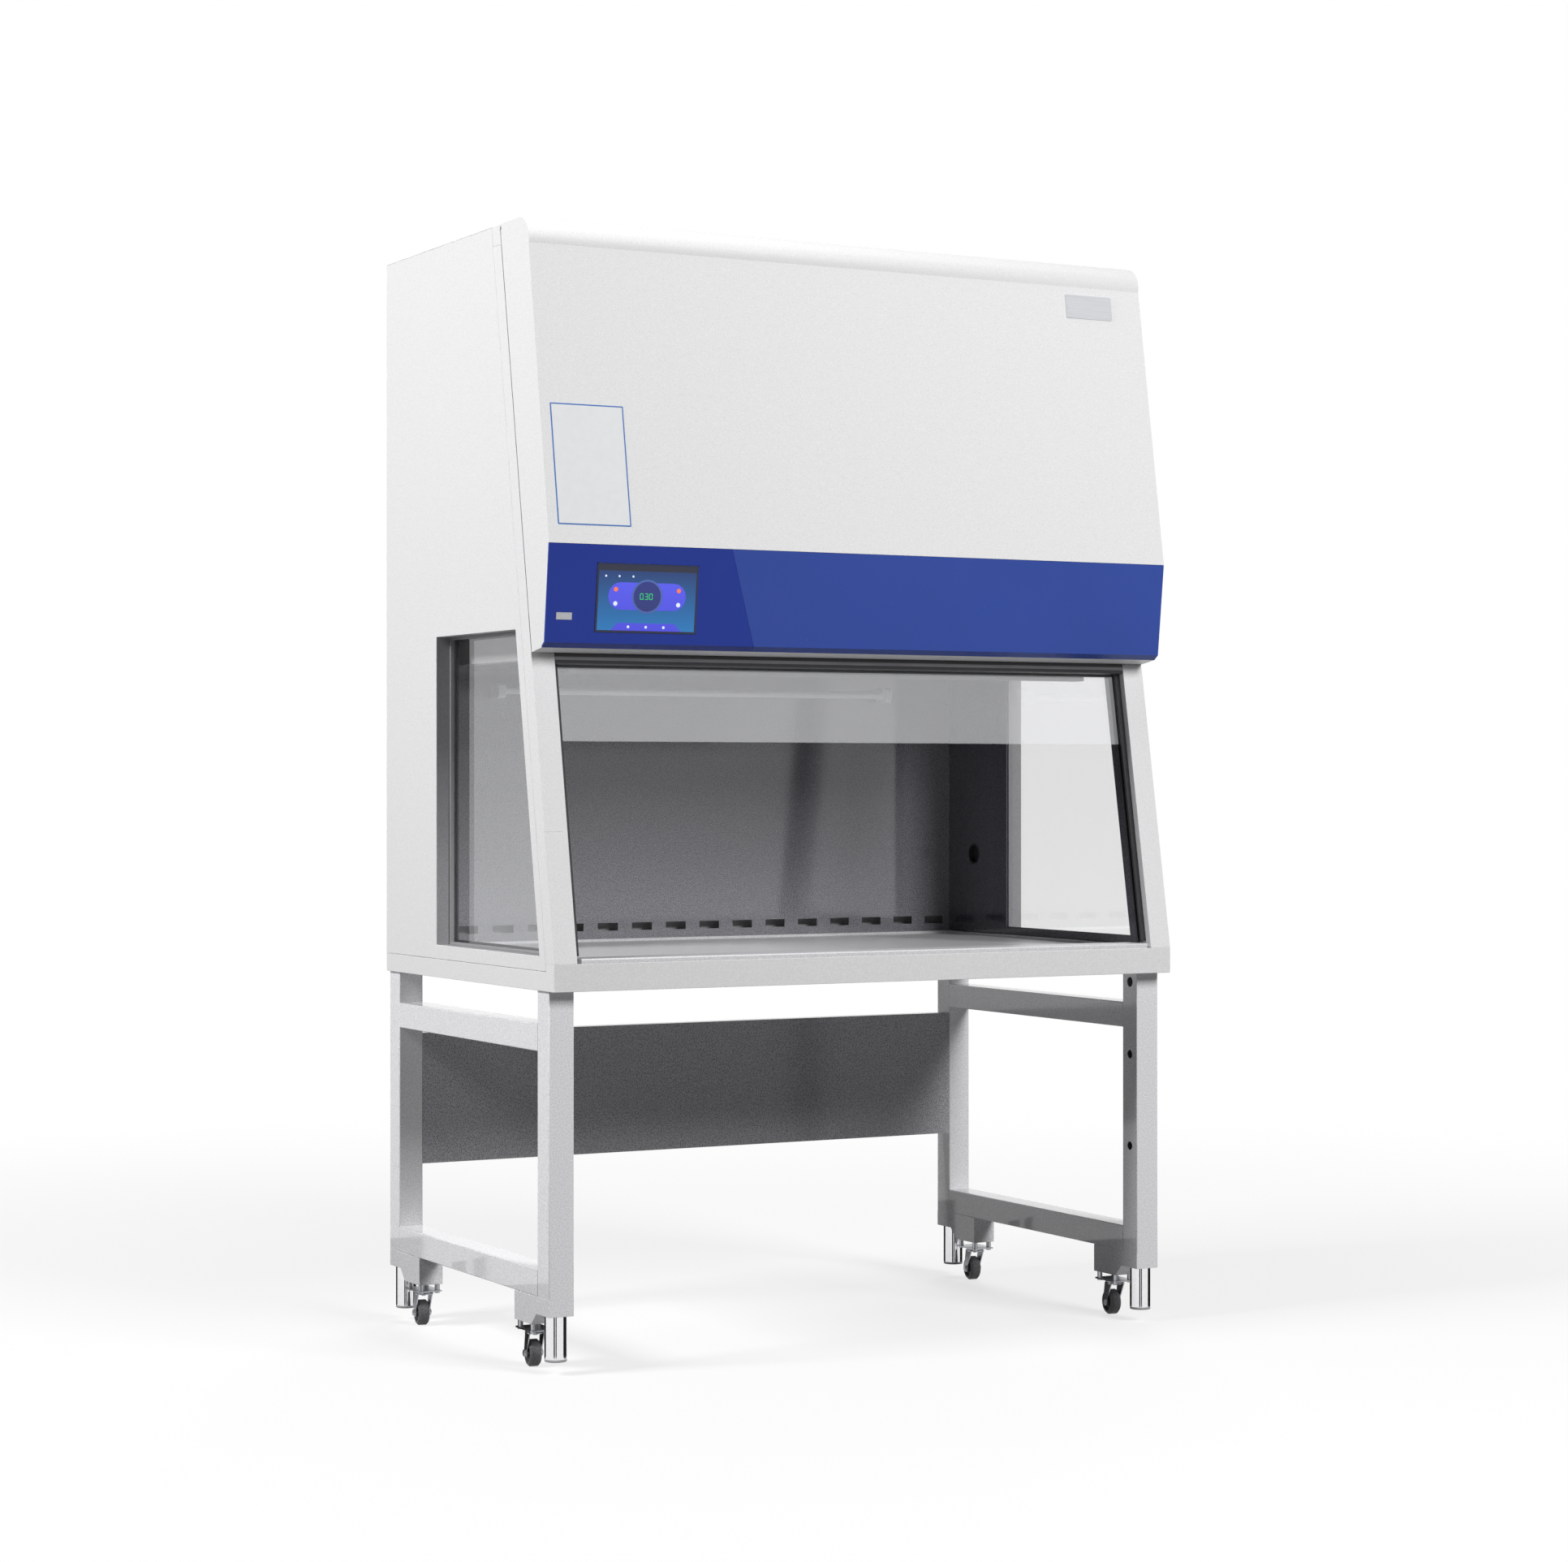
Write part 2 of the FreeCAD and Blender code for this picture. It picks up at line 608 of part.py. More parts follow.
def sash_carrier():
    """Channel clamped on the upper edge of the glass, with a belt clamp at each end."""
    top = lean_s(SASH_BOTTOM_Z, GLASS_SET) + SASH_TALL
    edge = HALF - POST_WIDTH - GUIDE_WIDE - GUIDE_LIP
    front = PULLEY + BELT + FLAT_GAP
    rear = GLASS_SET + GLASS + RAIL_WALL
    rail = lean_box(-edge, edge, front, rear, top - RAIL_TALL, top + RAIL_WALL)
    room = lean_box(-edge - 1, edge + 1, GLASS_SET, GLASS_SET + GLASS, top - RAIL_TALL - 1, top)
    rail = rail.cut(room)
    lug = lean_box(PULLEY_X - PULLEY_WIDE, PULLEY_X + PULLEY_WIDE, front, rear, top + RAIL_WALL,
                   top + RAIL_TALL)
    jaw = lean_box(PULLEY_X - PULLEY_WIDE, PULLEY_X + PULLEY_WIDE, PULLEY / 2, PULLEY - FLAT_GAP, top,
                   top + RAIL_TALL)
    side = lean_box(PULLEY_X - PULLEY_WIDE, PULLEY_X - BELT_WIDE / 2 - FLAT_GAP, PULLEY / 2, front,
                    top, top + RAIL_TALL)
    clamp = lug.fuse([jaw, side])
    return rail.fuse([clamp, other_side(clamp)])


def header():
    """Bar under the hood between the posts, in front of the glass."""
    s0 = lean_s(HEADER_Z) + HEADER_STRIP
    edge = HALF - POST_WIDTH
    return lean_box(-edge, edge, 0, HEADER_THICK, s0, s0 + HEADER_STRIP)


def header_seal(low):
    """Rubber strip along the bar, whose lip reaches back to the glass."""
    s0 = lean_s(HEADER_Z) + low
    edge = HALF - POST_WIDTH
    strip = lean_box(-edge, edge, 0, HEADER_THICK, s0, s0 + HEADER_STRIP)
    inside = edge - GUIDE_WIDE - GUIDE_PLAY
    lip = lean_box(-inside, inside, HEADER_THICK, GLASS_SET - FLAT_GAP, s0 + SKIN, s0 + 2 * SKIN)
    return strip.fuse(lip)


def pulley_pair(s):
    """Left and right belt pulley with side flanges, and the middle of their axle."""
    centre = lean_point(0, 0, s)
    half = PULLEY_WIDE / 2
    across = V(1, 0, 0)
    wheels = []
    for x in (-PULLEY_X, PULLEY_X):
        at = V(x, centre.y, centre.z)
        drum = rod(PULLEY - FLAT_GAP, at - across * half, at + across * half)
        for end in (-half, half):
            rim = at + across * (end - SKIN / 2)
            drum = drum.fuse(rod(PULLEY + BELT, rim, rim + across * SKIN))
        wheels.append(drum)
    return wheels, centre


def drive_shaft():
    """Shaft across the head of the frame with a belt pulley near each end."""
    wheels, centre = pulley_pair(DRIVE_S)
    half = PULLEY_X + PULLEY_WIDE + BRACKET
    shaft = rod(SHAFT, V(-half, centre.y, centre.z), V(half, centre.y, centre.z))
    return shaft.fuse(wheels)


def idlers():
    """Two idler pulleys on stub axles at the foot of the belts."""
    wheels, centre = pulley_pair(IDLER_S)
    half = PULLEY_X + PULLEY_WIDE + BRACKET
    stub = rod(SHAFT, V(PULLEY_X - PULLEY_WIDE, centre.y, centre.z), V(half, centre.y, centre.z))
    return wheels[1].fuse(stub), wheels[0].fuse(other_side(stub))


def shaft_bracket(s):
    """Right-hand bracket that carries a shaft from the front face of the post."""
    x0 = PULLEY_X + PULLEY_WIDE / 2 + SKIN + 1
    reach = PULLEY - BRACKET
    centre = lean_point(0, 0, s)
    ear = lean_box(x0, x0 + BRACKET, -reach, reach, s - reach, s + reach)
    foot = lean_box(x0, HALF - POST_WIDTH / 2, -BRACKET, 0, s - reach, s + reach)
    bore = rod(SHAFT + RUNNING, V(x0 - 1, centre.y, centre.z), V(x0 + 3 * BRACKET, centre.y, centre.z))
    return ear.fuse(foot).cut(bore)


def sash_belt():
    """Closed belt over the right-hand pulleys."""
    outer = PULLEY + BELT
    x0 = PULLEY_X - BELT_WIDE / 2
    span = box(x0, x0 + BELT_WIDE, -outer, outer, IDLER_S, DRIVE_S)
    room = box(x0, x0 + BELT_WIDE, -PULLEY, PULLEY, IDLER_S, DRIVE_S)
    across = V(BELT_WIDE, 0, 0)
    for s in (IDLER_S, DRIVE_S):
        at = V(x0, 0, s)
        span = span.fuse(rod(outer, at, at + across))
        room = room.fuse(rod(PULLEY, at, at + across))
    return leaning(span.cut(room))


def drive_crossbar():
    """Square tube between the posts behind the drive shaft."""
    edge = HALF - POST_WIDTH
    front = PULLEY + 3 * BELT + SKIN
    bar = lean_box(-edge, edge, front, POST_DEPTH, DRIVE_S - 2 * PULLEY, DRIVE_S + PULLEY)
    room = lean_box(-edge - 1, edge + 1, front + PAN_SHEET, POST_DEPTH - PAN_SHEET,
                    DRIVE_S - 2 * PULLEY + PAN_SHEET, DRIVE_S + PULLEY - PAN_SHEET)
    return bar.cut(room)


def sash_motor():
    """Gear case round the drive shaft, with its motor hanging below it."""
    front = PULLEY + 3 * BELT + SKIN
    case = lean_box(MOTOR_X - 2 * PULLEY, MOTOR_X + 2 * PULLEY, -front, front, DRIVE_S - 2 * PULLEY,
                    DRIVE_S + PULLEY)
    case = case.makeFillet(BRACKET, [e for e in case.Edges if abs(e.Vertexes[0].X - e.Vertexes[-1].X) > 1])
    centre = lean_point(0, 0, DRIVE_S)
    bore = rod(SHAFT + RUNNING, V(MOTOR_X - WIDTH / 8, centre.y, centre.z), V(MOTOR_X + WIDTH / 8,
                                                                              centre.y, centre.z))
    can = rod(front - 1, V(MOTOR_X, 0, DRIVE_S - 8 * PULLEY), V(MOTOR_X, 0, DRIVE_S - 2 * PULLEY))
    return case.fuse(leaning(can)).cut(bore)


# Hood, fascia and what is set in it

def hood_points():
    """Rear top corner, the relief below it and the rear foot of the hood's outline."""
    rear_top = (hinge_place()[0] - HINGE_BARREL - FLAT_GAP, HEIGHT)
    rear_relief = (lean_y(HEIGHT - 3 * HINGE_BARREL) - HOOD_GAP, HEIGHT - 3 * HINGE_BARREL)
    rear_foot = (lean_y(HOOD_UNDER_Z) - HOOD_GAP, HOOD_UNDER_Z)
    return rear_top, rear_relief, rear_foot


def hood_face(x):
    """Side outline of the hood: flat top, round shoulder, long front, ridge, leaning band and foot."""
    rear_top, rear_relief, rear_foot = hood_points()
    drop = HEIGHT - HOOD_SHOULDER_Z
    back = HOOD_FRONT_Y - HOOD_SHOULDER_Y
    radius = (back ** 2 + drop ** 2) / (2 * drop)
    turn = math.asin(back / radius) / 2
    centre = (HOOD_FRONT_Y, HEIGHT - radius)
    middle = (centre[0] - radius * math.sin(turn), centre[1] + radius * math.cos(turn))
    def at(point):
        return V(x, point[0], point[1])
    shoulder = Part.Arc(at((HOOD_FRONT_Y, HEIGHT)), at(middle), at((HOOD_SHOULDER_Y, HOOD_SHOULDER_Z)))
    run = [(HOOD_SHOULDER_Y, HOOD_SHOULDER_Z), (RIDGE_Y, RIDGE_Z), (FASCIA_FOOT_Y, FASCIA_FOOT_Z), (LIP_Y,
                                                                                                    LIP_Z),
           rear_foot, rear_relief, rear_top, (HOOD_FRONT_Y, HEIGHT)]
    edges = [shoulder.toShape()]
    for a, b in zip(run, run[1:]):
        edges.append(Part.LineSegment(at(a), at(b)).toShape())
    return Part.Face(Part.Wire(edges))


def band_zone(x0, x1):
    """Region of the coloured band, from the ridge down to the rear of the chamfered lip."""
    low = HOOD_UNDER_Z - FASCIA
    return box(x0, x1, 0, LIP_Y, low, RIDGE_Z)


def hood_solid():
    return hood_face(-HALF).extrude(V(WIDTH, 0, 0))


def inside_hood(depth):
    """Hood drawn in by a distance on its outline, across the full width."""
    return hood_face(-HALF).makeOffset2D(-depth).extrude(V(WIDTH, 0, 0))


def band_place(shape):
    """Place a shape drawn on an upright face so that it lies on the leaning band."""
    tilt = math.atan((FASCIA_FOOT_Y - RIDGE_Y) / (RIDGE_Z - FASCIA_FOOT_Z))
    placed = shape.copy()
    placed.rotate(V(0, 0, 0), V(1, 0, 0), math.degrees(tilt))
    placed.translate(V(0, RIDGE_Y, RIDGE_Z))
    return placed


def band_height(z):
    """Distance along the band for a height, negative below the ridge."""
    return -math.hypot(RIDGE_Z - z, (FASCIA_FOOT_Y - RIDGE_Y) * (RIDGE_Z - z) / (RIDGE_Z - FASCIA_FOOT_Z))


def band_box(x, wide, z, tall, p0, p1):
    """Block set in the band, given by its middle, its size and its two depths."""
    h = band_height(z)
    return band_place(box(x - wide / 2, x + wide / 2, p0, p1, h - tall / 2, h + tall / 2))


def screen_recess(play, p0, p1):
    return band_box(SCREEN_X, SCREEN_WIDE + play, SCREEN_MID_Z, SCREEN_TALL + play, p0, p1)


def screen_pass(play, p0, p1):
    step = 8 * SKIN
    return band_box(SCREEN_X, SCREEN_WIDE - step + play, SCREEN_MID_Z, SCREEN_TALL - step + play, p0, p1)


def usb_recess(play, p0, p1):
    return band_box(USB_X, USB_WIDE + play, USB_MID_Z, USB_TALL + play, p0, p1)


def usb_pass(play, p0, p1):
    step = 3 * SKIN
    return band_box(USB_X, USB_WIDE - 2 * step + play, USB_MID_Z, USB_TALL - step + play, p0, p1)


def hood_shell():
    """Folded cover with closed ends, open towards the frame, stepped back behind the coloured band."""
    band = hood_solid().common(band_zone(-HALF, HALF)).cut(inside_hood(FASCIA))
    width = box(-HALF + HOOD_SHEET, HALF - HOOD_SHEET, -DEPTH, DEPTH, 0, HEIGHT)
    deep = inside_hood(FASCIA + HOOD_SHEET)
    thin = inside_hood(HOOD_SHEET)
    room = thin.cut(band_zone(-HALF, HALF)).fuse(deep)
    behind = room.copy()
    behind.translate(V(0, 3 * HOOD_SHEET, 0))
    below = box(-HALF, HALF, -DEPTH, DEPTH, 0, HEIGHT - HOOD_SHEET)
    room = room.fuse(behind.common(below)).common(width)
    shell = hood_solid().cut(band).cut(room)
    shell = cut_all(shell, [screen_pass(2 * FLAT_GAP, -1, SCREEN_BODY), usb_pass(2 * FLAT_GAP, -1,
                                                                                 SCREEN_BODY)])
    return max(shell.Solids, key=lambda s: s.Volume)


def fascia(left):
    """Coloured plate of the band, wrapped under its foot, on one side of the slanted seam."""
    band = hood_solid().common(band_zone(-HALF, HALF)).cut(inside_hood(FASCIA))
    run = (FASCIA_SEAM_FOOT - FASCIA_SEAM_TOP) / (RIDGE_Z - LIP_Z)
    shift = SEAM / 2 if left else -SEAM / 2
    def seam_x(z):
        return FASCIA_SEAM_TOP + run * (RIDGE_Z - z) - shift
    low = HOOD_UNDER_Z - FASCIA
    edge = -HALF - 1 if left else HALF + 1
    corners = [V(edge, 0, low), V(edge, 0, RIDGE_Z - SEAM), V(seam_x(RIDGE_Z), 0, RIDGE_Z - SEAM),
               V(seam_x(low), 0, low)]
    side = Part.Face(Part.makePolygon(corners + corners[:1])).extrude(V(0, LIP_Y, 0))
    plate = band.common(side)
    if left:
        plate = cut_all(plate, [screen_recess(2 * FLAT_GAP, -1, FASCIA + 1), usb_recess(2 * FLAT_GAP, -1,
                                                                                        FASCIA + 1)])
    return max(plate.Solids, key=lambda s: s.Volume)


def touch_screen():
    """Screen glass a little proud of the fascia, with its body through the hood sheet."""
    glass = screen_recess(0, FASCIA - SCREEN_THICK, FASCIA)
    rim = [e for e in glass.Edges if e.Length < 2 * SCREEN_THICK]
    return glass.makeFillet(2 * SKIN, rim).fuse(screen_pass(0, FASCIA, SCREEN_BODY))


def usb_socket():
    """Metal shell of the data socket behind the small cover."""
    body = usb_pass(0, FASCIA, SCREEN_BODY)
    seat = band_box(USB_X, USB_WIDE - 2 * SKIN, USB_MID_Z, USB_TALL - 4 * SKIN, FASCIA - SKIN, FASCIA)
    mouth = band_box(USB_X, USB_MOUTH_WIDE, USB_MID_Z, USB_MOUTH_TALL, -1, SCREEN_BODY - USB_BACK)
    return body.fuse(seat).cut(mouth)


def usb_pin_height():
    return band_height(USB_MID_Z) + USB_TALL / 2 - USB_PIN_DROP


def usb_pin():
    """Pin across the top of the recess that the cover turns on."""
    h = usb_pin_height()
    half = USB_WIDE / 2 + FLAT_GAP
    return band_place(rod(USB_PIN - RUNNING, V(USB_X - half, 0, h), V(USB_X + half, 0, h)))


def usb_cover():
    """Flap over the data socket, with a bead along its upper edge that turns on a pin."""
    flap = usb_recess(0, -SKIN / 2, SKIN - FLAT_GAP)
    h = usb_pin_height()
    bead = rod(USB_PIN_DROP, V(USB_X - USB_WIDE / 2, 0, h), V(USB_X + USB_WIDE / 2, 0, h))
    pin = rod(USB_PIN, V(USB_X - USB_WIDE, 0, h), V(USB_X + USB_WIDE, 0, h))
    return flap.fuse(band_place(bead)).cut(band_place(pin))


def hinge_place():
    z = HEIGHT - HINGE_BARREL
    return lean_y(z) - HINGE_BARREL - FLAT_GAP, z


def hinge_knuckle(x0, x1):
    y, z = hinge_place()
    return rod(HINGE_BARREL, V(x0, y, z), V(x1, y, z)).cut(rod(HINGE_PIN + RUNNING, V(x0, y, z), V(x1, y,
                                                                                                   z)))


def frame_hinge():
    """Right-hand frame leaf, a plate on the face of the top beam with the middle knuckle and the pin."""
    y, z = hinge_place()
    third = HINGE_WIDE / 6
    x0 = HINGE_X - third
    x1 = HINGE_X + third
    leaf = lean_box(HINGE_X - HINGE_WIDE / 2, HINGE_X + HINGE_WIDE / 2, -SKIN, 0,
                    lean_s(HEIGHT - HINGE_LEAF), lean_s(HEIGHT - 3 * HINGE_BARREL))
    tongue = lean_box(x0 + FLAT_GAP, x1 - FLAT_GAP, -SKIN - FLAT_GAP, 0,
                      lean_s(HEIGHT - HINGE_LEAF), lean_s(z) + 1)
    middle = rod(HINGE_BARREL, V(x0 + FLAT_GAP, y, z), V(x1 - FLAT_GAP, y, z))
    pin = rod(HINGE_PIN, V(HINGE_X - HINGE_WIDE / 2, y, z), V(HINGE_X + HINGE_WIDE / 2, y, z))
    return leaf.fuse([tongue, middle, pin])


def hood_hinge():
    """Right-hand hood leaf, a plate under the flat top with the two outer knuckles."""
    y, z = hinge_place()
    third = HINGE_WIDE / 6
    top = HEIGHT - HOOD_SHEET
    parts = []
    for x0, x1 in ((HINGE_X - HINGE_WIDE / 2, HINGE_X - third), (HINGE_X + third,
                                                                 HINGE_X + HINGE_WIDE / 2)):
        arm = box(x0, x1, y - HINGE_LEAF, y, top - SKIN, top)
        bore = rod(HINGE_PIN + RUNNING, V(x0 - 1, y, z), V(x1 + 1, y, z))
        parts.append(arm.fuse(rod(HINGE_BARREL, V(x0, y, z), V(x1, y, z))).cut(bore))
    plate = box(HINGE_X - HINGE_WIDE / 2, HINGE_X + HINGE_WIDE / 2, y - HINGE_LEAF, y - 2 * HINGE_BARREL,
                top - SKIN, top)
    return plate.fuse(parts)


# Air path

def front_baffle():
    """Sheet behind the sash that closes the front of the work zone above the opening."""
    edge = INNER_HALF - SKIN
    d0 = POST_DEPTH + 4
    return lean_box(-edge, edge, d0, d0 + SKIN, lean_s(HEADER_Z), lean_s(PLENUM_BOTTOM, d0) - PAN_SHEET)


def supply_front():
    """Depth at which the supply filter and the diffuser start."""
    return lean_y(PLENUM_BOTTOM) + PANEL_SETBACK + LEDGE_WIDE


def diffuser():
    """Slotted screen under the supply filter, hung from the side rails."""
    edge = INNER_HALF - SKIN - SEAM
    front = supply_front()
    sheet = box(-edge, edge, front, BACK_WALL_Y - SEAM, CEILING_Z - SKIN, CEILING_Z)
    slots = []
    deep = BACK_WALL_Y - front
    reach = edge / DIFFUSER_COLUMNS * DIFFUSER_SLOT
    for i in range(DIFFUSER_COLUMNS):
        for j in range(DIFFUSER_ROWS):
            x = -edge + 2 * edge * (i + 0.5) / DIFFUSER_COLUMNS
            y = front + deep * (j + 0.5) / DIFFUSER_ROWS
            slots.append(box(x - reach, x + reach, y - SLOT_WIDE, y + SLOT_WIDE, CEILING_Z - 2 * SKIN,
                             CEILING_Z + 1))
    return cut_all(sheet, slots)


def filter_frame(half, front, rear, low, tall):
    frame = box(-half, half, front, rear, low, low + tall)
    return frame.cut(box(-half + FILTER_RIM, half - FILTER_RIM, front + FILTER_RIM, rear - FILTER_RIM,
                         low - 1, low + tall + 1))


def filter_pack(half, front, rear, low, tall):
    """Pleated pack inside a filter frame, its folds drawn as a zigzag."""
    x0 = -half + FILTER_RIM
    x1 = half - FILTER_RIM
    y0 = front + FILTER_RIM
    y1 = rear - FILTER_RIM
    pitch = (y1 - y0) / FILTER_FOLDS
    thick = 3 * SKIN
    top = low + tall - PAN_SHEET
    bottom = low + PAN_SHEET
    upper = []
    lower = []
    for i in range(2 * FILTER_FOLDS + 1):
        y = y0 + pitch * i / 2
        high = i % 2
        upper.append((y, top if high else bottom + thick))
        lower.append((y, top - thick if high else bottom))
    return side_prism(upper + lower[::-1], x0, x1)


def filter_seal():
    """Foam seal between the filter frame and the plenum."""
    top = FILTER_Z + FILTER_TALL
    front = supply_front() + SEAM
    rear = BACK_WALL_Y - SEAM
    ring = box(-FILTER_HALF, FILTER_HALF, front, rear, top, PLENUM_BOTTOM)
    return ring.cut(box(-FILTER_HALF + FILTER_RIM, FILTER_HALF - FILTER_RIM, front + FILTER_RIM,
                        rear - FILTER_RIM,
                        top - 1, PLENUM_BOTTOM + 1))


def plenum_box():
    """Sealed sheet box over the supply filter, with openings for both filters and the intake."""
    set_back = PANEL_SETBACK + 4
    rear = BACK_WALL_Y + SKIN
    def outline(t):
        return [(lean_y(PLENUM_BOTTOM) + set_back + t, PLENUM_BOTTOM + t), (rear - t, PLENUM_BOTTOM + t),
                (rear - t, PLENUM_TOP - t), (lean_y(PLENUM_TOP) + set_back + t, PLENUM_TOP - t)]
    solid = side_prism(outline(0), -INNER_HALF, INNER_HALF)
    room = side_prism(outline(SKIN), -INNER_HALF + SKIN, INNER_HALF - SKIN)
    below = box(-FILTER_HALF + FILTER_RIM, FILTER_HALF - FILTER_RIM, supply_front() + FILTER_RIM,
                BACK_WALL_Y - FILTER_RIM, PLENUM_BOTTOM - 1, PLENUM_BOTTOM + SKIN + 1)
    above = box(-EXHAUST_HALF + FILTER_RIM, EXHAUST_HALF - FILTER_RIM, EXHAUST_FRONT + FILTER_RIM,
                EXHAUST_REAR - FILTER_RIM, PLENUM_TOP - SKIN - 1, PLENUM_TOP + 1)
    intake = rod(INLET_BORE, V(0, BACK_WALL_Y - 1, BLOWER_Z), V(0, rear + 1, BLOWER_Z))
    return cut_all(solid, [room, below, above, intake])


def scroll_face(y, inset):
    """Spiral of the blower housing in four quarter arcs that grow, with an outlet that rises at its side."""
    start_turn = 0.0 if inset else TONGUE_TURN
    radius = SCROLL_START - inset
    centre = V(0, y, BLOWER_Z)
    edges = []
    turns = [start_turn] + [math.radians(90 * i) for i in range(1, 5)]
    for a0, a1 in zip(turns, turns[1:]):
        points = [centre + V(math.cos(a), 0, math.sin(a)) * radius for a in (a0, (a0 + a1) / 2, a1)]
        edges.append(Part.Arc(*points).toShape())
        centre = centre - V(math.cos(a1), 0, math.sin(a1)) * SCROLL_STEP
        radius += SCROLL_STEP
    first = edges[0].Vertexes[0].Point
    last = edges[-1].Vertexes[-1].Point
    high = BLOWER_Z + SCROLL_START + (SCROLL_OUT if inset else SCROLL_OUT - PAN_SHEET)
    tongue = SCROLL_START + inset
    path = [last, V(last.x, y, high), V(tongue, y, high), V(tongue, y, first.z), first]
    for a, b in zip(path, path[1:]):
        edges.append(Part.LineSegment(a, b).toShape())
    return Part.Face(Part.Wire(Part.sortEdges(edges)[0]))


def blower_housing():
    """Scroll of the blower: two side plates and a spiral wall, open at the outlet and the inlet."""
    outer = scroll_face(BLOWER_FRONT, 0).extrude(V(0, BACK_WALL_Y - BLOWER_FRONT, 0))
    front = BLOWER_FRONT + SKIN
    inner = scroll_face(front, SKIN).extrude(V(0, BACK_WALL_Y - SKIN - front, 0))
    inlet = rod(INLET_BORE, V(0, BACK_WALL_Y - 2 * SKIN, BLOWER_Z), V(0, BACK_WALL_Y + 1, BLOWER_Z))
    shaft = rod(2 * MOTOR_SHAFT, V(0, BLOWER_FRONT - 1, BLOWER_Z), V(0, BLOWER_FRONT + 2 * SKIN, BLOWER_Z))
    return cut_all(outer, [inner, inlet, shaft])


def blower_wheel():
    """Drum impeller: a plate and hub at the motor, curved blades and a ring at the inlet."""
    y0 = BLOWER_FRONT + 4 * MOTOR_SHAFT
    y1 = y0 + WHEEL_TALL
    middle = V(0, 0, BLOWER_Z)
    def at(y):
        return V(0, y, BLOWER_Z)
    plate = rod(WHEEL_OUTER, at(y0), at(y0 + WHEEL_PLATE))
    ring = rod(WHEEL_OUTER + WHEEL_PLATE, at(y1 - 2 * WHEEL_PLATE), at(y1))
    ring = ring.cut(rod(WHEEL_OUTER - WHEEL_PLATE / 2, at(y1 - 3 * WHEEL_PLATE), at(y1 + 1)))
    hub = rod(2 * MOTOR_SHAFT, at(y0), at(y0 + 5 * WHEEL_PLATE))
    bore = rod(MOTOR_SHAFT + RUNNING, at(y0 - 1), at(y1))
    bend = (WHEEL_OUTER - WHEEL_INNER) * 0.62
    reach = (WHEEL_OUTER - WHEEL_INNER) / 2
    mid = WHEEL_INNER + reach
    outline = []
    for r in (bend, bend - BLADE_THICK):
        points = [middle + V(mid + r * math.sin(a), y0 + WHEEL_PLATE / 2, r * math.cos(a) - bend / 2)
                  for a in (-BLADE_SWEEP, 0, BLADE_SWEEP)]
        outline.append(points)
    upper, lower = outline
    edges = [Part.Arc(*upper).toShape(), Part.LineSegment(upper[2], lower[2]).toShape(),
             Part.Arc(*lower[::-1]).toShape(), Part.LineSegment(lower[0], upper[0]).toShape()]
    blade = Part.Face(Part.Wire(edges)).extrude(V(0, WHEEL_TALL - 2 * WHEEL_PLATE, 0))
    blades = []
    for i in range(BLADES):
        turned = blade.copy()
        turned.rotate(V(0, 0, BLOWER_Z), V(0, 1, 0), 360.0 / BLADES * i)
        blades.append(turned)
    return plate.fuse([hub, ring] + blades).cut(bore)


def blower_motor():
    """Motor can on a flange at the front plate of the scroll, with its shaft through the hub."""
    def at(y):
        return V(0, y, BLOWER_Z)
    flange = rod(MOTOR_RADIUS + 2 * MOTOR_SHAFT, at(BLOWER_FRONT - MOTOR_SHAFT / 2), at(BLOWER_FRONT))
    can = rod(MOTOR_RADIUS, at(BLOWER_FRONT - MOTOR_TALL), at(BLOWER_FRONT))
    can = can.makeFillet(MOTOR_SHAFT,
                         [e for e in can.Edges if abs(e.BoundBox.YMax - BLOWER_FRONT + MOTOR_TALL) < 0.1])
    shaft = rod(MOTOR_SHAFT, at(BLOWER_FRONT - 1), at(BLOWER_FRONT + 4 * MOTOR_SHAFT + 6 * WHEEL_PLATE))
    ribs = []
    for i in range(12):
        rib = box(MOTOR_RADIUS - 1, MOTOR_RADIUS + 4, BLOWER_FRONT - MOTOR_TALL + 2 * MOTOR_SHAFT,
                  BLOWER_FRONT - MOTOR_SHAFT, -SKIN, SKIN)
        rib.rotate(V(0, 0, 0), V(0, 1, 0), 30 * i)
        rib.translate(V(0, 0, BLOWER_Z))
        ribs.append(rib)
    return can.fuse([flange, shaft] + ribs)


def exhaust_duct():
    """Frame that leads from the exhaust filter to the opening in the top panel."""
    low = PLENUM_TOP + EXHAUST_TALL
    high = HEIGHT - SKIN
    ring = box(-EXHAUST_HALF, EXHAUST_HALF, EXHAUST_FRONT, EXHAUST_REAR, low, high)
    ring = ring.cut(box(-EXHAUST_HALF + PAN_SHEET, EXHAUST_HALF - PAN_SHEET, EXHAUST_FRONT + PAN_SHEET,
                        EXHAUST_REAR - PAN_SHEET, low - 1, high + 1))
    lip = box(-EXHAUST_HALF, EXHAUST_HALF, EXHAUST_FRONT, EXHAUST_REAR, low, low + PAN_SHEET)
    lip = lip.cut(box(-EXHAUST_HALF + FILTER_RIM, EXHAUST_HALF - FILTER_RIM, EXHAUST_FRONT + FILTER_RIM,
                      EXHAUST_REAR - FILTER_RIM, low - 1, high))
    return ring.fuse(lip)


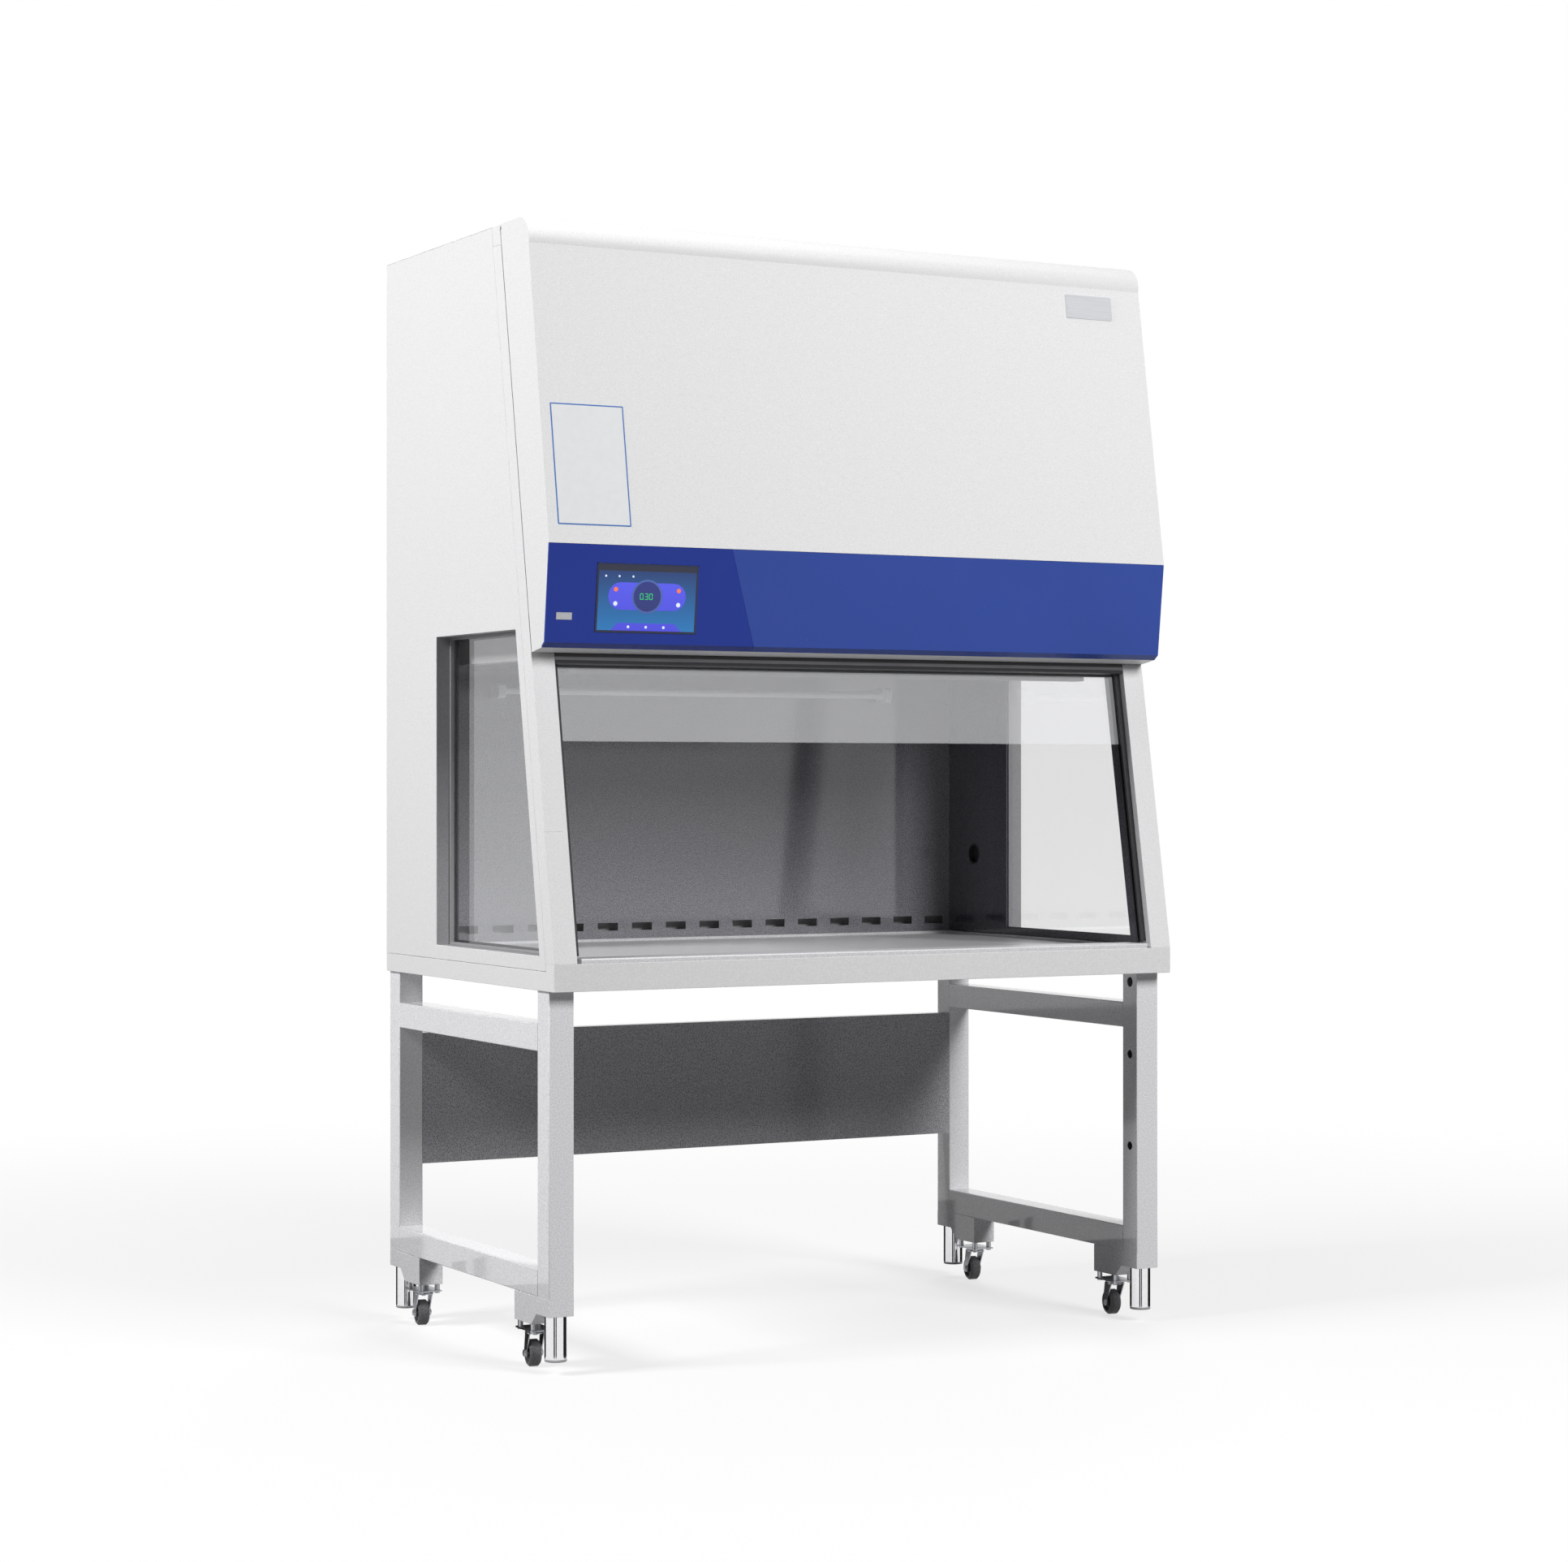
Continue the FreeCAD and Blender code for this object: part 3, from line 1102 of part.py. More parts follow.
def exhaust_guard():
    """Barred guard let into the exhaust opening, flush with the top panel."""
    x1 = EXHAUST_HALF - FLAT_GAP
    y0 = EXHAUST_FRONT + FLAT_GAP
    y1 = EXHAUST_REAR - FLAT_GAP
    plate = box(-x1, x1, y0, y1, HEIGHT - SKIN, HEIGHT)
    pitch = (2 * x1 - FILTER_RIM) / GUARD_SLOTS
    slots = []
    for i in range(GUARD_SLOTS):
        x = -x1 + FILTER_RIM / 2 + pitch * (i + 0.5)
        for j in range(4):
            y = y0 + FILTER_RIM + (y1 - y0 - 2 * FILTER_RIM) * (j + 0.5) / 4
            slots.append(box(x - pitch / 2 + SLOT_WIDE / 2, x + pitch / 2 - SLOT_WIDE / 2,
                             y - 4 * SLOT_WIDE,
                             y + 4 * SLOT_WIDE, HEIGHT - 2 * SKIN, HEIGHT + 1))
    return cut_all(plate, slots)


def electrical_box():
    """Control box over the plenum, with louvres in its front."""
    x0 = INNER_HALF - 3 * FILTER_RIM - BOX_WIDE
    front = EXHAUST_FRONT
    case = box(x0, x0 + BOX_WIDE, front, front + BOX_DEEP, PLENUM_TOP, PLENUM_TOP + BOX_TALL)
    slots = []
    pitch = BOX_TALL / (LOUVRES + 3)
    for i in range(LOUVRES):
        z = PLENUM_TOP + pitch * (i + 1.5)
        slots.append(box(x0 + FILTER_RIM, x0 + BOX_WIDE - FILTER_RIM, front - 1, front + SKIN, z,
                         z + PAN_SHEET))
    room = box(x0 + SKIN, x0 + BOX_WIDE - SKIN, front + SKIN, front + BOX_DEEP - SKIN,
               PLENUM_TOP + SKIN, PLENUM_TOP + BOX_TALL - SKIN)
    return cut_all(case, slots + [room])


def ceiling_edge():
    """Depth at which the flat ceiling starts, just behind the baffle."""
    return lean_y(CEILING_Z) + (POST_DEPTH + 4 + SKIN) / math.cos(ANGLE) + SEAM


def lamp_front():
    return ceiling_edge() + SKIN


def lamp_housing():
    """Folded trough of the work light under the front of the ceiling."""
    y0 = lamp_front()
    y1 = supply_front() - SEAM
    z1 = CEILING_Z - SKIN
    trough = box(-LAMP_HALF, LAMP_HALF, y0, y1, z1 - LAMP_TALL, z1)
    return trough.cut(box(-LAMP_HALF + SKIN, LAMP_HALF - SKIN, y0 + SKIN, y1 - SKIN, z1 - LAMP_TALL - 1,
                          z1 - SKIN))


def ceiling_front():
    """Plate between the baffle and the diffuser that the lamp trough hangs from."""
    edge = INNER_HALF - SKIN - SEAM
    z0 = CEILING_Z - SKIN
    return box(-edge, edge, ceiling_edge(), supply_front() - SEAM, z0, CEILING_Z)


def tube_lamp(y, z, half, caps):
    """Straight lamp tube with a cap at each end."""
    tube = rod(TUBE, V(-half, y, z), V(half, y, z))
    cap = rod(TUBE + TUBE_CAP, V(half - caps, y, z), V(half + caps / 2, y, z))
    return tube.fuse([cap, other_side(cap)])


def work_light():
    y = (lamp_front() + supply_front() - SEAM) / 2
    return tube_lamp(y, CEILING_Z - 2 * SKIN - TUBE - TUBE_CAP - FLAT_GAP, LAMP_HALF - 4 * TUBE, 2 * TUBE)


def uv_lamp():
    """Germicidal tube along the rear wall under the ceiling, on two clips."""
    y = BACK_WALL_Y - 3 * TUBE
    z = CEILING_Z - 5 * TUBE
    return tube_lamp(y, z, UV_HALF, 2 * TUBE)


def uv_clip():
    """Right-hand lamp holder, a block on the rear wall that the end cap sits in."""
    y = BACK_WALL_Y - 3 * TUBE
    z = CEILING_Z - 5 * TUBE
    x0 = UV_HALF - TUBE
    block = box(x0, x0 + 2 * TUBE, y - 2 * TUBE, BACK_WALL_Y, z - 2 * TUBE, z + 2 * TUBE)
    block = block.makeFillet(TUBE, [e for e in block.Edges if abs(e.BoundBox.YMin - y + 2 * TUBE) < 0.1
                                    and e.BoundBox.YLength < 0.1 and e.BoundBox.XLength > 1])
    return block.cut(rod(TUBE + TUBE_CAP + RUNNING, V(x0 - 1, y, z), V(x0 + 2 * TUBE + 1, y, z)))


def power_inlet():
    """Appliance inlet in the rear panel at the upper right, with its recess and three blades."""
    x = HALF - PANEL_RIM - 4 * FILTER_RIM
    z = PLENUM_TOP + FILTER_RIM
    wide = SOCKET_WIDE / 2
    tall = SOCKET_TALL / 2
    plate = box(x - SOCKET_PLATE_WIDE / 2, x + SOCKET_PLATE_WIDE / 2, DEPTH - SKIN - PAN_SHEET,
                DEPTH - SKIN,
                z - SOCKET_PLATE_TALL / 2, z + SOCKET_PLATE_TALL / 2)
    body = box(x - wide, x + wide, DEPTH - SOCKET_DEEP, DEPTH, z - tall, z + tall)
    mouth = box(x - wide + SOCKET_WALL, x + wide - SOCKET_WALL, DEPTH - SOCKET_MOUTH, DEPTH + 1,
                z - tall + SOCKET_WALL, z + tall - SOCKET_WALL)
    root = DEPTH - SOCKET_MOUTH
    blades = []
    for dx, dz in ((-BLADE_SIDE, -BLADE_DROP), (0, BLADE_RISE), (BLADE_SIDE, -BLADE_DROP)):
        blades.append(box(x + dx - BLADE_WIDE / 2, x + dx + BLADE_WIDE / 2, root - 1, root + SOCKET_BLADE,
                          z + dz - BLADE_TALL / 2, z + dz + BLADE_TALL / 2))
    return plate.fuse(body).cut(mouth).fuse(blades)


def power_cutout(play):
    x = HALF - PANEL_RIM - 4 * FILTER_RIM
    z = PLENUM_TOP + FILTER_RIM
    wide = SOCKET_WIDE / 2 + play
    tall = SOCKET_TALL / 2 + play
    return box(x - wide, x + wide, DEPTH - 2 * SKIN, DEPTH + 1, z - tall, z + tall)


# Stand

def leg_corner(front):
    """Inner x, outer x, front y and rear y of a right-hand leg."""
    x1 = HALF - LEG_INSET
    if front:
        return x1 - LEG, x1, LEG_FRONT, LEG_FRONT + LEG
    return x1 - LEG, x1, DEPTH - LEG_REAR - LEG, DEPTH - LEG_REAR


def leg(front):
    """Square tube with a welded top plate, a nut plate for the foot and holes in its inner face."""
    x0, x1, y0, y1 = leg_corner(front)
    tube = box(x0, x1, y0, y1, LEG_BOTTOM, BASE_BOTTOM)
    t = LEG_WALL
    tube = tube.cut(box(x0 + t, x1 - t, y0 + t, y1 - t, LEG_BOTTOM - 1, BASE_BOTTOM - 2 * t))
    uprights = [e for e in tube.Edges if e.Length > LEG and abs(e.BoundBox.ZMin - LEG_BOTTOM) < 0.1
                and (abs(e.BoundBox.XMin - x0) < 0.1 or abs(e.BoundBox.XMin - x1) < 0.1)]
    tube = tube.makeFillet(t, [e for e in uprights if e.BoundBox.ZLength > LEG])
    nut = box(x0 + t, x1 - t, y0 + t, y1 - t, NUT_PLATE_Z, NUT_PLATE_Z + NUT_PLATE)
    x = (x0 + x1) / 2
    y = (y0 + y1) / 2
    bore = rod(STEM + RUNNING, V(x, y, NUT_PLATE_Z - 1), V(x, y, NUT_PLATE_Z + NUT_PLATE + 1))
    tube = tube.fuse(nut).cut(bore)
    if front:
        for z, radius in zip(HOLE_HEIGHTS, (HOLE_BIG, HOLE_SMALL, HOLE_SMALL)):
            tube = tube.cut(rod(radius, V(x0 - 1, y, z), V(x0 + 2 * t, y, z)))
    return tube


def side_rail(low):
    """Square tube between the front and the rear leg on the right."""
    x0, x1, _, y0 = leg_corner(True)
    y1 = leg_corner(False)[2]
    tube = box(x0, x1, y0, y1, low, low + RAIL)
    t = LEG_WALL
    longs = [e for e in tube.Edges if e.BoundBox.YLength > RAIL]
    tube = tube.makeFillet(t, longs)
    return tube.cut(box(x0 + t, x1 - t, y0 - 1, y1 + 1, low + t, low + RAIL - t))


def back_panel():
    """Folded panel between the rear legs, its front level with theirs."""
    x1 = HALF - LEG_INSET - LEG
    y0 = leg_corner(False)[2]
    fold = 4 * PAN_SHEET + FILTER_RIM
    panel = box(-x1, x1, y0, y0 + fold, BACK_LOW, BACK_HIGH)
    return panel.cut(box(-x1 + PAN_SHEET, x1 - PAN_SHEET, y0 + PAN_SHEET, y0 + fold + 1,
                         BACK_LOW + PAN_SHEET, BACK_HIGH - PAN_SHEET))


def foot_bracket(front):
    """Stepped box under a leg: shallow over the levelling foot, deep over the caster."""
    x0, x1, y0, y1 = leg_corner(front)
    start = y0 if front else y1
    way = 1 if front else -1
    def outline(t):
        shallow = FOOT_SHALLOW + t * math.tan(math.radians(22.5))
        return [(start + way * t, LEG_BOTTOM - t), (start + way * t, FOOT_SHALLOW_Z + t),
                (start + way * shallow, FOOT_SHALLOW_Z + t), (start + way * (shallow + FOOT_SLOPE),
                                                              FOOT_DEEP_Z + t),
                (start + way * (FOOT_LONG - t), FOOT_DEEP_Z + t), (start + way * (FOOT_LONG - t),
                                                                   LEG_BOTTOM - t)]
    solid = side_prism(outline(0), x0, x1)
    room = side_prism(outline(FOOT_WALL), x0 + FOOT_WALL, x1 - FOOT_WALL)
    x = (x0 + x1) / 2
    y = (y0 + y1) / 2
    stem = rod(STEM + 2 * FLAT_GAP, V(x, y, FOOT_SHALLOW_Z - 1), V(x, y, LEG_BOTTOM + 1))
    bolts = [rod(CASTER_BOLT, V(px, py, FOOT_DEEP_Z - 1), V(px, py, FOOT_DEEP_Z + FOOT_WALL + 1))
             for px, py in bolt_places(front)]
    return cut_all(solid.cut(room), [stem] + bolts)


def caster_centre(front):
    """Middle of the caster plate under the deep part of a right-hand bracket."""
    x0, x1, y0, y1 = leg_corner(front)
    deep = (FOOT_SHALLOW + FOOT_SLOPE + FOOT_LONG) / 2
    y = y0 + deep if front else y1 - deep
    return (x0 + x1) / 2, y


def bolt_places(front):
    x, y = caster_centre(front)
    dx = PLATE_X / 2 - 2 * CASTER_BOLT
    dy = PLATE_Y / 2 - 2 * CASTER_BOLT
    return [(x + sx * dx, y + sy * dy) for sx in (-1, 1) for sy in (-1, 1)]


def caster_plate(front):
    """Top plate with the upper race of the swivel and the kingpin."""
    x, y = caster_centre(front)
    plate = box(x - PLATE_X / 2, x + PLATE_X / 2, y - PLATE_Y / 2, y + PLATE_Y / 2,
                PLATE_TOP - PLATE_THICK, PLATE_TOP)
    corners = [e for e in plate.Edges if e.BoundBox.ZLength > 1]
    plate = plate.makeFillet(CASTER_BOLT, corners)
    for px, py in bolt_places(front):
        plate = plate.cut(rod(CASTER_BOLT, V(px, py, 0), V(px, py, PLATE_TOP + 1)))
    low = PLATE_TOP - PLATE_THICK - HEAD_TALL
    race = Part.makeCone(HEAD_RADIUS - HEAD_TALL / 2, HEAD_RADIUS, HEAD_TALL, V(x, y, low), V(0, 0, 1))
    kingpin = rod(AXLE, V(x, y, low - 3 * FORK_SHEET), V(x, y, PLATE_TOP))
    return plate.fuse([race, kingpin])


def caster_bolt(px, py):
    """Bolt with a spacer between the bracket and the plate, its head below and its nut above."""
    low = PLATE_TOP - PLATE_THICK
    spacer = rod(CASTER_NUT, V(px, py, PLATE_TOP), V(px, py, FOOT_DEEP_Z))
    shank = rod(CASTER_BOLT - FLAT_GAP, V(px, py, low - 1), V(px, py, FOOT_DEEP_Z + FOOT_WALL + 1))
    head = rod(CASTER_NUT, V(px, py, low - 3), V(px, py, low))
    nut = rod(CASTER_NUT, V(px, py, FOOT_DEEP_Z + FOOT_WALL), V(px, py, FOOT_DEEP_Z + FOOT_WALL + 4))
    return spacer.fuse([shank, head, nut])


def caster_fork(x, y):
    """Pressed fork: a round crown under the race and two cheeks that trail to the axle."""
    top = PLATE_TOP - PLATE_THICK - HEAD_TALL - FLAT_GAP
    crown = rod(HEAD_RADIUS - 1, V(x, y, top - FORK_SHEET), V(x, y, top))
    bridge = box(x - FORK_HALF, x + FORK_HALF, y - FORK_HALF, y + FORK_HALF, top - FORK_SHEET, top)
    axle_y = y + TRAIL
    outline = [(y - FORK_HALF, top), (y + FORK_HALF, top), (axle_y + 2 * AXLE, WHEEL_RADIUS + AXLE),
               (axle_y + 1.5 * AXLE, WHEEL_RADIUS - 2 * AXLE), (axle_y - 1.5 * AXLE,
                                                                WHEEL_RADIUS - 2 * AXLE),
               (axle_y - 2 * AXLE, WHEEL_RADIUS + AXLE)]
    cheeks = []
    for x0 in (x - FORK_HALF, x + FORK_HALF - FORK_SHEET):
        cheek = side_prism(outline, x0, x0 + FORK_SHEET)
        lows = [e for e in cheek.Edges if e.BoundBox.ZMax < WHEEL_RADIUS and e.BoundBox.XLength > 1]
        cheeks.append(cheek.makeFillet(AXLE, lows))
    pin = rod(AXLE, V(x - FORK_HALF - 2 * FORK_SHEET, axle_y, WHEEL_RADIUS),
              V(x + FORK_HALF + 2 * FORK_SHEET, axle_y, WHEEL_RADIUS))
    heads = [rod(1.6 * AXLE, V(x + sx * FORK_HALF, axle_y, WHEEL_RADIUS),
                 V(x + sx * (FORK_HALF + 1.5 * FORK_SHEET), axle_y, WHEEL_RADIUS)) for sx in (-1, 1)]
    bore = rod(AXLE + RUNNING, V(x, y, top - 2 * FORK_SHEET), V(x, y, top + 1))
    return crown.fuse([bridge, pin] + cheeks + heads).cut(bore)


def caster_wheel(x, y):
    """Wheel turned in one piece: hub, dished web and rounded rubber tread."""
    axle_y = y + TRAIL
    half = WHEEL_WIDE / 2
    hub = HUB_WIDE / 2
    bore = AXLE + RUNNING
    crown = half / 3
    profile = [(bore, -hub), (2.2 * AXLE, -hub), (2.2 * AXLE, -half / 2), (WHEEL_RADIUS * 0.7, -half / 2),
               (WHEEL_RADIUS * 0.7, -half), (WHEEL_RADIUS - crown, -half), (WHEEL_RADIUS, -half + crown)]
    profile = profile + [(r, -w) for r, w in profile[::-1]]
    corners = [V(w, 0, r) for r, w in profile]
    wheel = Part.Face(Part.makePolygon(corners + corners[:1])).revolve(V(0, 0, 0), V(1, 0, 0), 360)
    wheel.translate(V(x, axle_y, WHEEL_RADIUS))
    return wheel


def levelling_foot(front):
    """Round pillar on a narrower pad, with a threaded stem up through the nut plate."""
    x0, x1, y0, y1 = leg_corner(front)
    x = (x0 + x1) / 2
    y = (y0 + y1) / 2
    z = PAD_BOTTOM
    high = FOOT_SHALLOW_Z - SEAM
    profile = [(0, z), (PAD_RADIUS - 2, z), (PAD_RADIUS - 1, z + 1), (PAD_RADIUS - 1, z + PAD_TALL),
               (PAD_RADIUS, z + PAD_TALL + 1), (PAD_RADIUS, high), (STEM, high), (STEM, STEM_TOP - 2),
               (STEM - 2, STEM_TOP), (0, STEM_TOP)]
    corners = [V(r, 0, h) for r, h in profile]
    foot = Part.Face(Part.makePolygon(corners + corners[:1])).revolve(V(0, 0, 0), V(0, 0, 1), 360)
    foot.translate(V(x, y, 0))
    return foot


# Nodes

def pair(right):
    """A right-hand piece and its mirror image."""
    return [right, other_side(right)]


def turned(shape, x, y):
    """Turn a caster piece about its kingpin to where the casters stand."""
    placed = shape.copy()
    placed.rotate(V(x, y, 0), V(0, 0, 1), -CASTER_TURN)
    return placed


def cabinet_nodes():
    post = front_post()
    left_post = other_side(post).cut(cover_seam())
    port_blank = rod(PORT_BORE / 2, V(INNER_HALF - SKIN, PORT_Y, PORT_Z), V(INNER_HALF, PORT_Y, PORT_Z))
    add("base_pan", base_pan())
    add("drain_plug", drain_plug())
    add("frame_posts", post, left_post, *pair(rear_post()))
    add("top_beam", top_beam())
    add("side_panels", *pair(side_panel()))
    add("rear_panel", rear_panel().cut(power_cutout(0)))
    add("top_panel", top_panel(), exhaust_guard())
    add("power_inlet", power_inlet())
    add("window_frames", *(pair(window_reveal()) + pair(window_bead())))
    add("window_panes", *pair(window_pane()))
    add("wall_seals", *(pair(window_seal()) + [port_bush()]))
    add("inner_walls", inner_wall(), other_side(inner_wall().fuse(port_blank)))
    add("rear_wall", rear_wall())
    add("work_tray", work_tray())
    add("front_grille", front_grille())
    add("armrest", armrest())
    add("ceiling_front", ceiling_front(), lamp_housing(), front_baffle())
    add("diffuser", diffuser())
    add("lamp_tubes", work_light(), uv_lamp(), *pair(uv_clip()))


def sash_nodes():
    brackets = [shaft_bracket(DRIVE_S), shaft_bracket(IDLER_S)]
    add("sash_guides", *pair(sash_guide()))
    add("sash_glass", sash_glass())
    add("sash_carrier", sash_carrier())
    add("header_bar", header())
    add("header_seals", header_seal(0), header_seal(2 * HEADER_STRIP))
    add("drive_shaft", drive_shaft())
    add("idler_pulleys", *idlers())
    add("drive_mounts", drive_crossbar(), *(brackets + [other_side(b) for b in brackets]))
    add("sash_belts", *pair(sash_belt()))
    add("sash_motor", sash_motor())


def hood_nodes():
    add("hood_shell", hood_shell())
    add("fascia_left", fascia(True))
    add("fascia_right", fascia(False))
    add("touch_screen", touch_screen())
    add("usb_socket", usb_socket(), usb_pin())
    add("usb_cover", usb_cover())
    add("frame_hinges", *pair(frame_hinge()))
    add("hood_hinges", *pair(hood_hinge()))


def air_nodes():
    front = supply_front() + SEAM
    rear = BACK_WALL_Y - SEAM
    supply = (FILTER_HALF, front, rear, FILTER_Z, FILTER_TALL)
    exhaust = (EXHAUST_HALF, EXHAUST_FRONT, EXHAUST_REAR, PLENUM_TOP, EXHAUST_TALL)
    add("supply_filter", filter_frame(*supply), filter_pack(*supply), filter_seal())
    add("exhaust_filter", filter_frame(*exhaust), filter_pack(*exhaust), exhaust_duct())
    add("plenum_box", plenum_box())
    add("blower_housing", blower_housing())
    add("blower_wheel", blower_wheel())
    add("blower_motor", blower_motor())
    add("electrical_box", electrical_box())


def stand_nodes():
    frame = [leg(True), leg(False), side_rail(RAIL_LOW), side_rail(RAIL_TOP_LOW)]
    add("stand_frame", *(frame + [other_side(piece) for piece in frame]))
    add("stand_back_panel", back_panel())
    brackets = [foot_bracket(True), foot_bracket(False)]
    add("foot_brackets", *(brackets + [other_side(piece) for piece in brackets]))
    mounts = []
    for front in (True, False):
        mounts.append(caster_plate(front))
        mounts += [caster_bolt(px, py) for px, py in bolt_places(front)]
    add("caster_mounts", *(mounts + [other_side(piece) for piece in mounts]))
    for front, end in ((True, "front"), (False, "rear")):
        x, y = caster_centre(front)
        for side, hand in ((1, "right"), (-1, "left")):
            add("caster_fork_" + end + "_" + hand, turned(caster_fork(side * x, y), side * x, y))
            add("caster_wheel_" + end + "_" + hand, turned(caster_wheel(side * x, y), side * x, y))
        foot = levelling_foot(front)
        add("levelling_foot_" + end + "_right", foot)
        add("levelling_foot_" + end + "_left", other_side(foot))


cabinet_nodes()
sash_nodes()
hood_nodes()
air_nodes()
stand_nodes()
os.makedirs("parts", exist_ok=True)
for name, shape in NODES.items():
    placed = shape.copy()
    placed.translate(V(0, -DEPTH / 2, 0))
    placed.exportStep(os.path.join("parts", name + ".step"))
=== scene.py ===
import math

import bmesh
import bpy
from mathutils import Euler, Matrix, Vector


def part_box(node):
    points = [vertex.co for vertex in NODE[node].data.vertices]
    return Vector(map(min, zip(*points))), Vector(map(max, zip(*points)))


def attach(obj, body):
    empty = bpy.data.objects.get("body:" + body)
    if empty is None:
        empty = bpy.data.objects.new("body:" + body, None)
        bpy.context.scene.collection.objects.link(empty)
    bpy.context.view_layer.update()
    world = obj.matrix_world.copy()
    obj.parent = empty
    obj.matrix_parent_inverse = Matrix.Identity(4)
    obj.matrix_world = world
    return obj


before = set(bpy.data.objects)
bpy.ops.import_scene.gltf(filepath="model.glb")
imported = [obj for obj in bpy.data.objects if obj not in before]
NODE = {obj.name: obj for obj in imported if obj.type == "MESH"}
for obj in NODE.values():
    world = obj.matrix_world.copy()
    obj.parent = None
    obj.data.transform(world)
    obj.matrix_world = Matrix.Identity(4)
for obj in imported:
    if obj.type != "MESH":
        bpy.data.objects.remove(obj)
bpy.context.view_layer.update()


# Stand frame
# Two welded side frames of square steel tube, with short rails between front and rear legs.
# All of it is powder coated in a smooth light grey with a fine dark fleck.

def shader(name, colour, rough, metal=0.0):
    """New material, its node tree and its one surface shader."""
    finish = bpy.data.materials.new(name)
    finish.use_nodes = True
    tree = finish.node_tree
    surface = tree.nodes["Principled BSDF"]
    surface.inputs["Base Color"].default_value = (*colour, 1.0)
    surface.inputs["Roughness"].default_value = rough
    surface.inputs["Metallic"].default_value = metal
    return finish, tree, surface


def grain(tree, scale, detail=2.0, drawn=(1, 1, 1)):
    """Noise fixed to the piece, in features per metre, drawn out along an axis where asked."""
    place = tree.nodes.new("ShaderNodeTexCoord")
    turn = tree.nodes.new("ShaderNodeMapping")
    turn.inputs["Scale"].default_value = drawn
    noise = tree.nodes.new("ShaderNodeTexNoise")
    noise.inputs["Scale"].default_value = scale
    noise.inputs["Detail"].default_value = detail
    tree.links.new(place.outputs["Object"], turn.inputs["Vector"])
    tree.links.new(turn.outputs["Vector"], noise.inputs["Vector"])
    return noise.outputs["Fac"]


def tones(tree, source, low, high, dark, light):
    """Two colours laid over a noise, between two of its values."""
    blend = tree.nodes.new("ShaderNodeValToRGB")
    blend.color_ramp.elements[0].position = low
    blend.color_ramp.elements[1].position = high
    blend.color_ramp.elements[0].color = (*dark, 1.0)
    blend.color_ramp.elements[1].color = (*light, 1.0)
    tree.links.new(source, blend.inputs["Fac"])
    return blend.outputs["Color"]


def relief(tree, surface, source, lift, deep):
    """The noise as small bumps that turn the light, of a strength and a depth in metres."""
    bump = tree.nodes.new("ShaderNodeBump")
    bump.inputs["Strength"].default_value = lift
    bump.inputs["Distance"].default_value = deep
    tree.links.new(source, bump.inputs["Height"])
    tree.links.new(bump.outputs["Normal"], surface.inputs["Normal"])


def spread(tree, source, low, high):
    """A noise brought into a narrow band of values, for roughness."""
    band = tree.nodes.new("ShaderNodeMapRange")
    band.inputs["To Min"].default_value = low
    band.inputs["To Max"].default_value = high
    tree.links.new(source, band.inputs["Value"])
    return band.outputs["Result"]


FLECK_FROM = 0.36
FLECK_TO = 0.62
GLOSS_CLOUDS = 9.0
PEEL_FINE = 700.0
PEEL_DEEP = 0.0002


def uneven(name, dark, light, fleck, rough, lift, metal=0.0, specular=0.5, drawn=(1, 1, 1), waver=0.05):
    """Two close tones in small flecks, a gloss that wavers a little and a fine relief."""
    finish, tree, surface = shader(name, light, rough, metal)
    surface.inputs["Specular IOR Level"].default_value = specular
    flecks = tones(tree, grain(tree, fleck, drawn=drawn), FLECK_FROM, FLECK_TO, dark, light)
    tree.links.new(flecks, surface.inputs["Base Color"])
    tree.links.new(spread(tree, grain(tree, GLOSS_CLOUDS), rough - waver, rough + waver),
                   surface.inputs["Roughness"])
    relief(tree, surface, grain(tree, PEEL_FINE, drawn=drawn), lift, PEEL_DEEP)
    return finish


def powder_coat(name, dark, light, fleck, rough, lift):
    """Powder coat: a low sheen and a fine orange peel."""
    return uneven(name, dark, light, fleck, rough, lift, specular=0.3)


WELD_REACH = 0.00002
SHARP_TURN = math.radians(50)


def dress(names, finish, edge=0.0):
    """Give CAD nodes their finish, and where asked break their sharp edges."""
    for name in names:
        piece = NODE[name]
        piece.data.materials.clear()
        piece.data.materials.append(finish)
        if edge:
            weld = piece.modifiers.new("weld", "WELD")
            weld.merge_threshold = WELD_REACH
            broken = piece.modifiers.new("edges", "BEVEL")
            broken.width = edge
            broken.segments = 2
            broken.limit_method = "ANGLE"
            broken.angle_limit = SHARP_TURN
            broken.use_clamp_overlap = True


SHEET_EDGE = 0.0008
STAND_FLECK = 430.0
STAND_PAINT = uneven("stand paint", (0.64, 0.64, 0.66), (0.86, 0.86, 0.88), STAND_FLECK, rough=0.09,
                     lift=0.02, waver=0.02)
dress(["stand_frame", "foot_brackets"], STAND_PAINT, SHEET_EDGE)
# The back panel has the frame's paint in a darker grey: painted shade, for the shadow it lies in under the
# cabinet.
PANEL_SHADE_PAINT = powder_coat("stand panel painted shade", (0.20, 0.20, 0.215), (0.53, 0.53, 0.56), STAND_FLECK,
                         rough=0.14, lift=0.05)
dress(["stand_back_panel"], PANEL_SHADE_PAINT)


# Casters and levelling feet
# Four small swivel casters with zinc plated forks and grey rubber wheels stand behind the feet.
# Each foot is a polished steel pillar on a rubber pad, and screws down out of the leg.

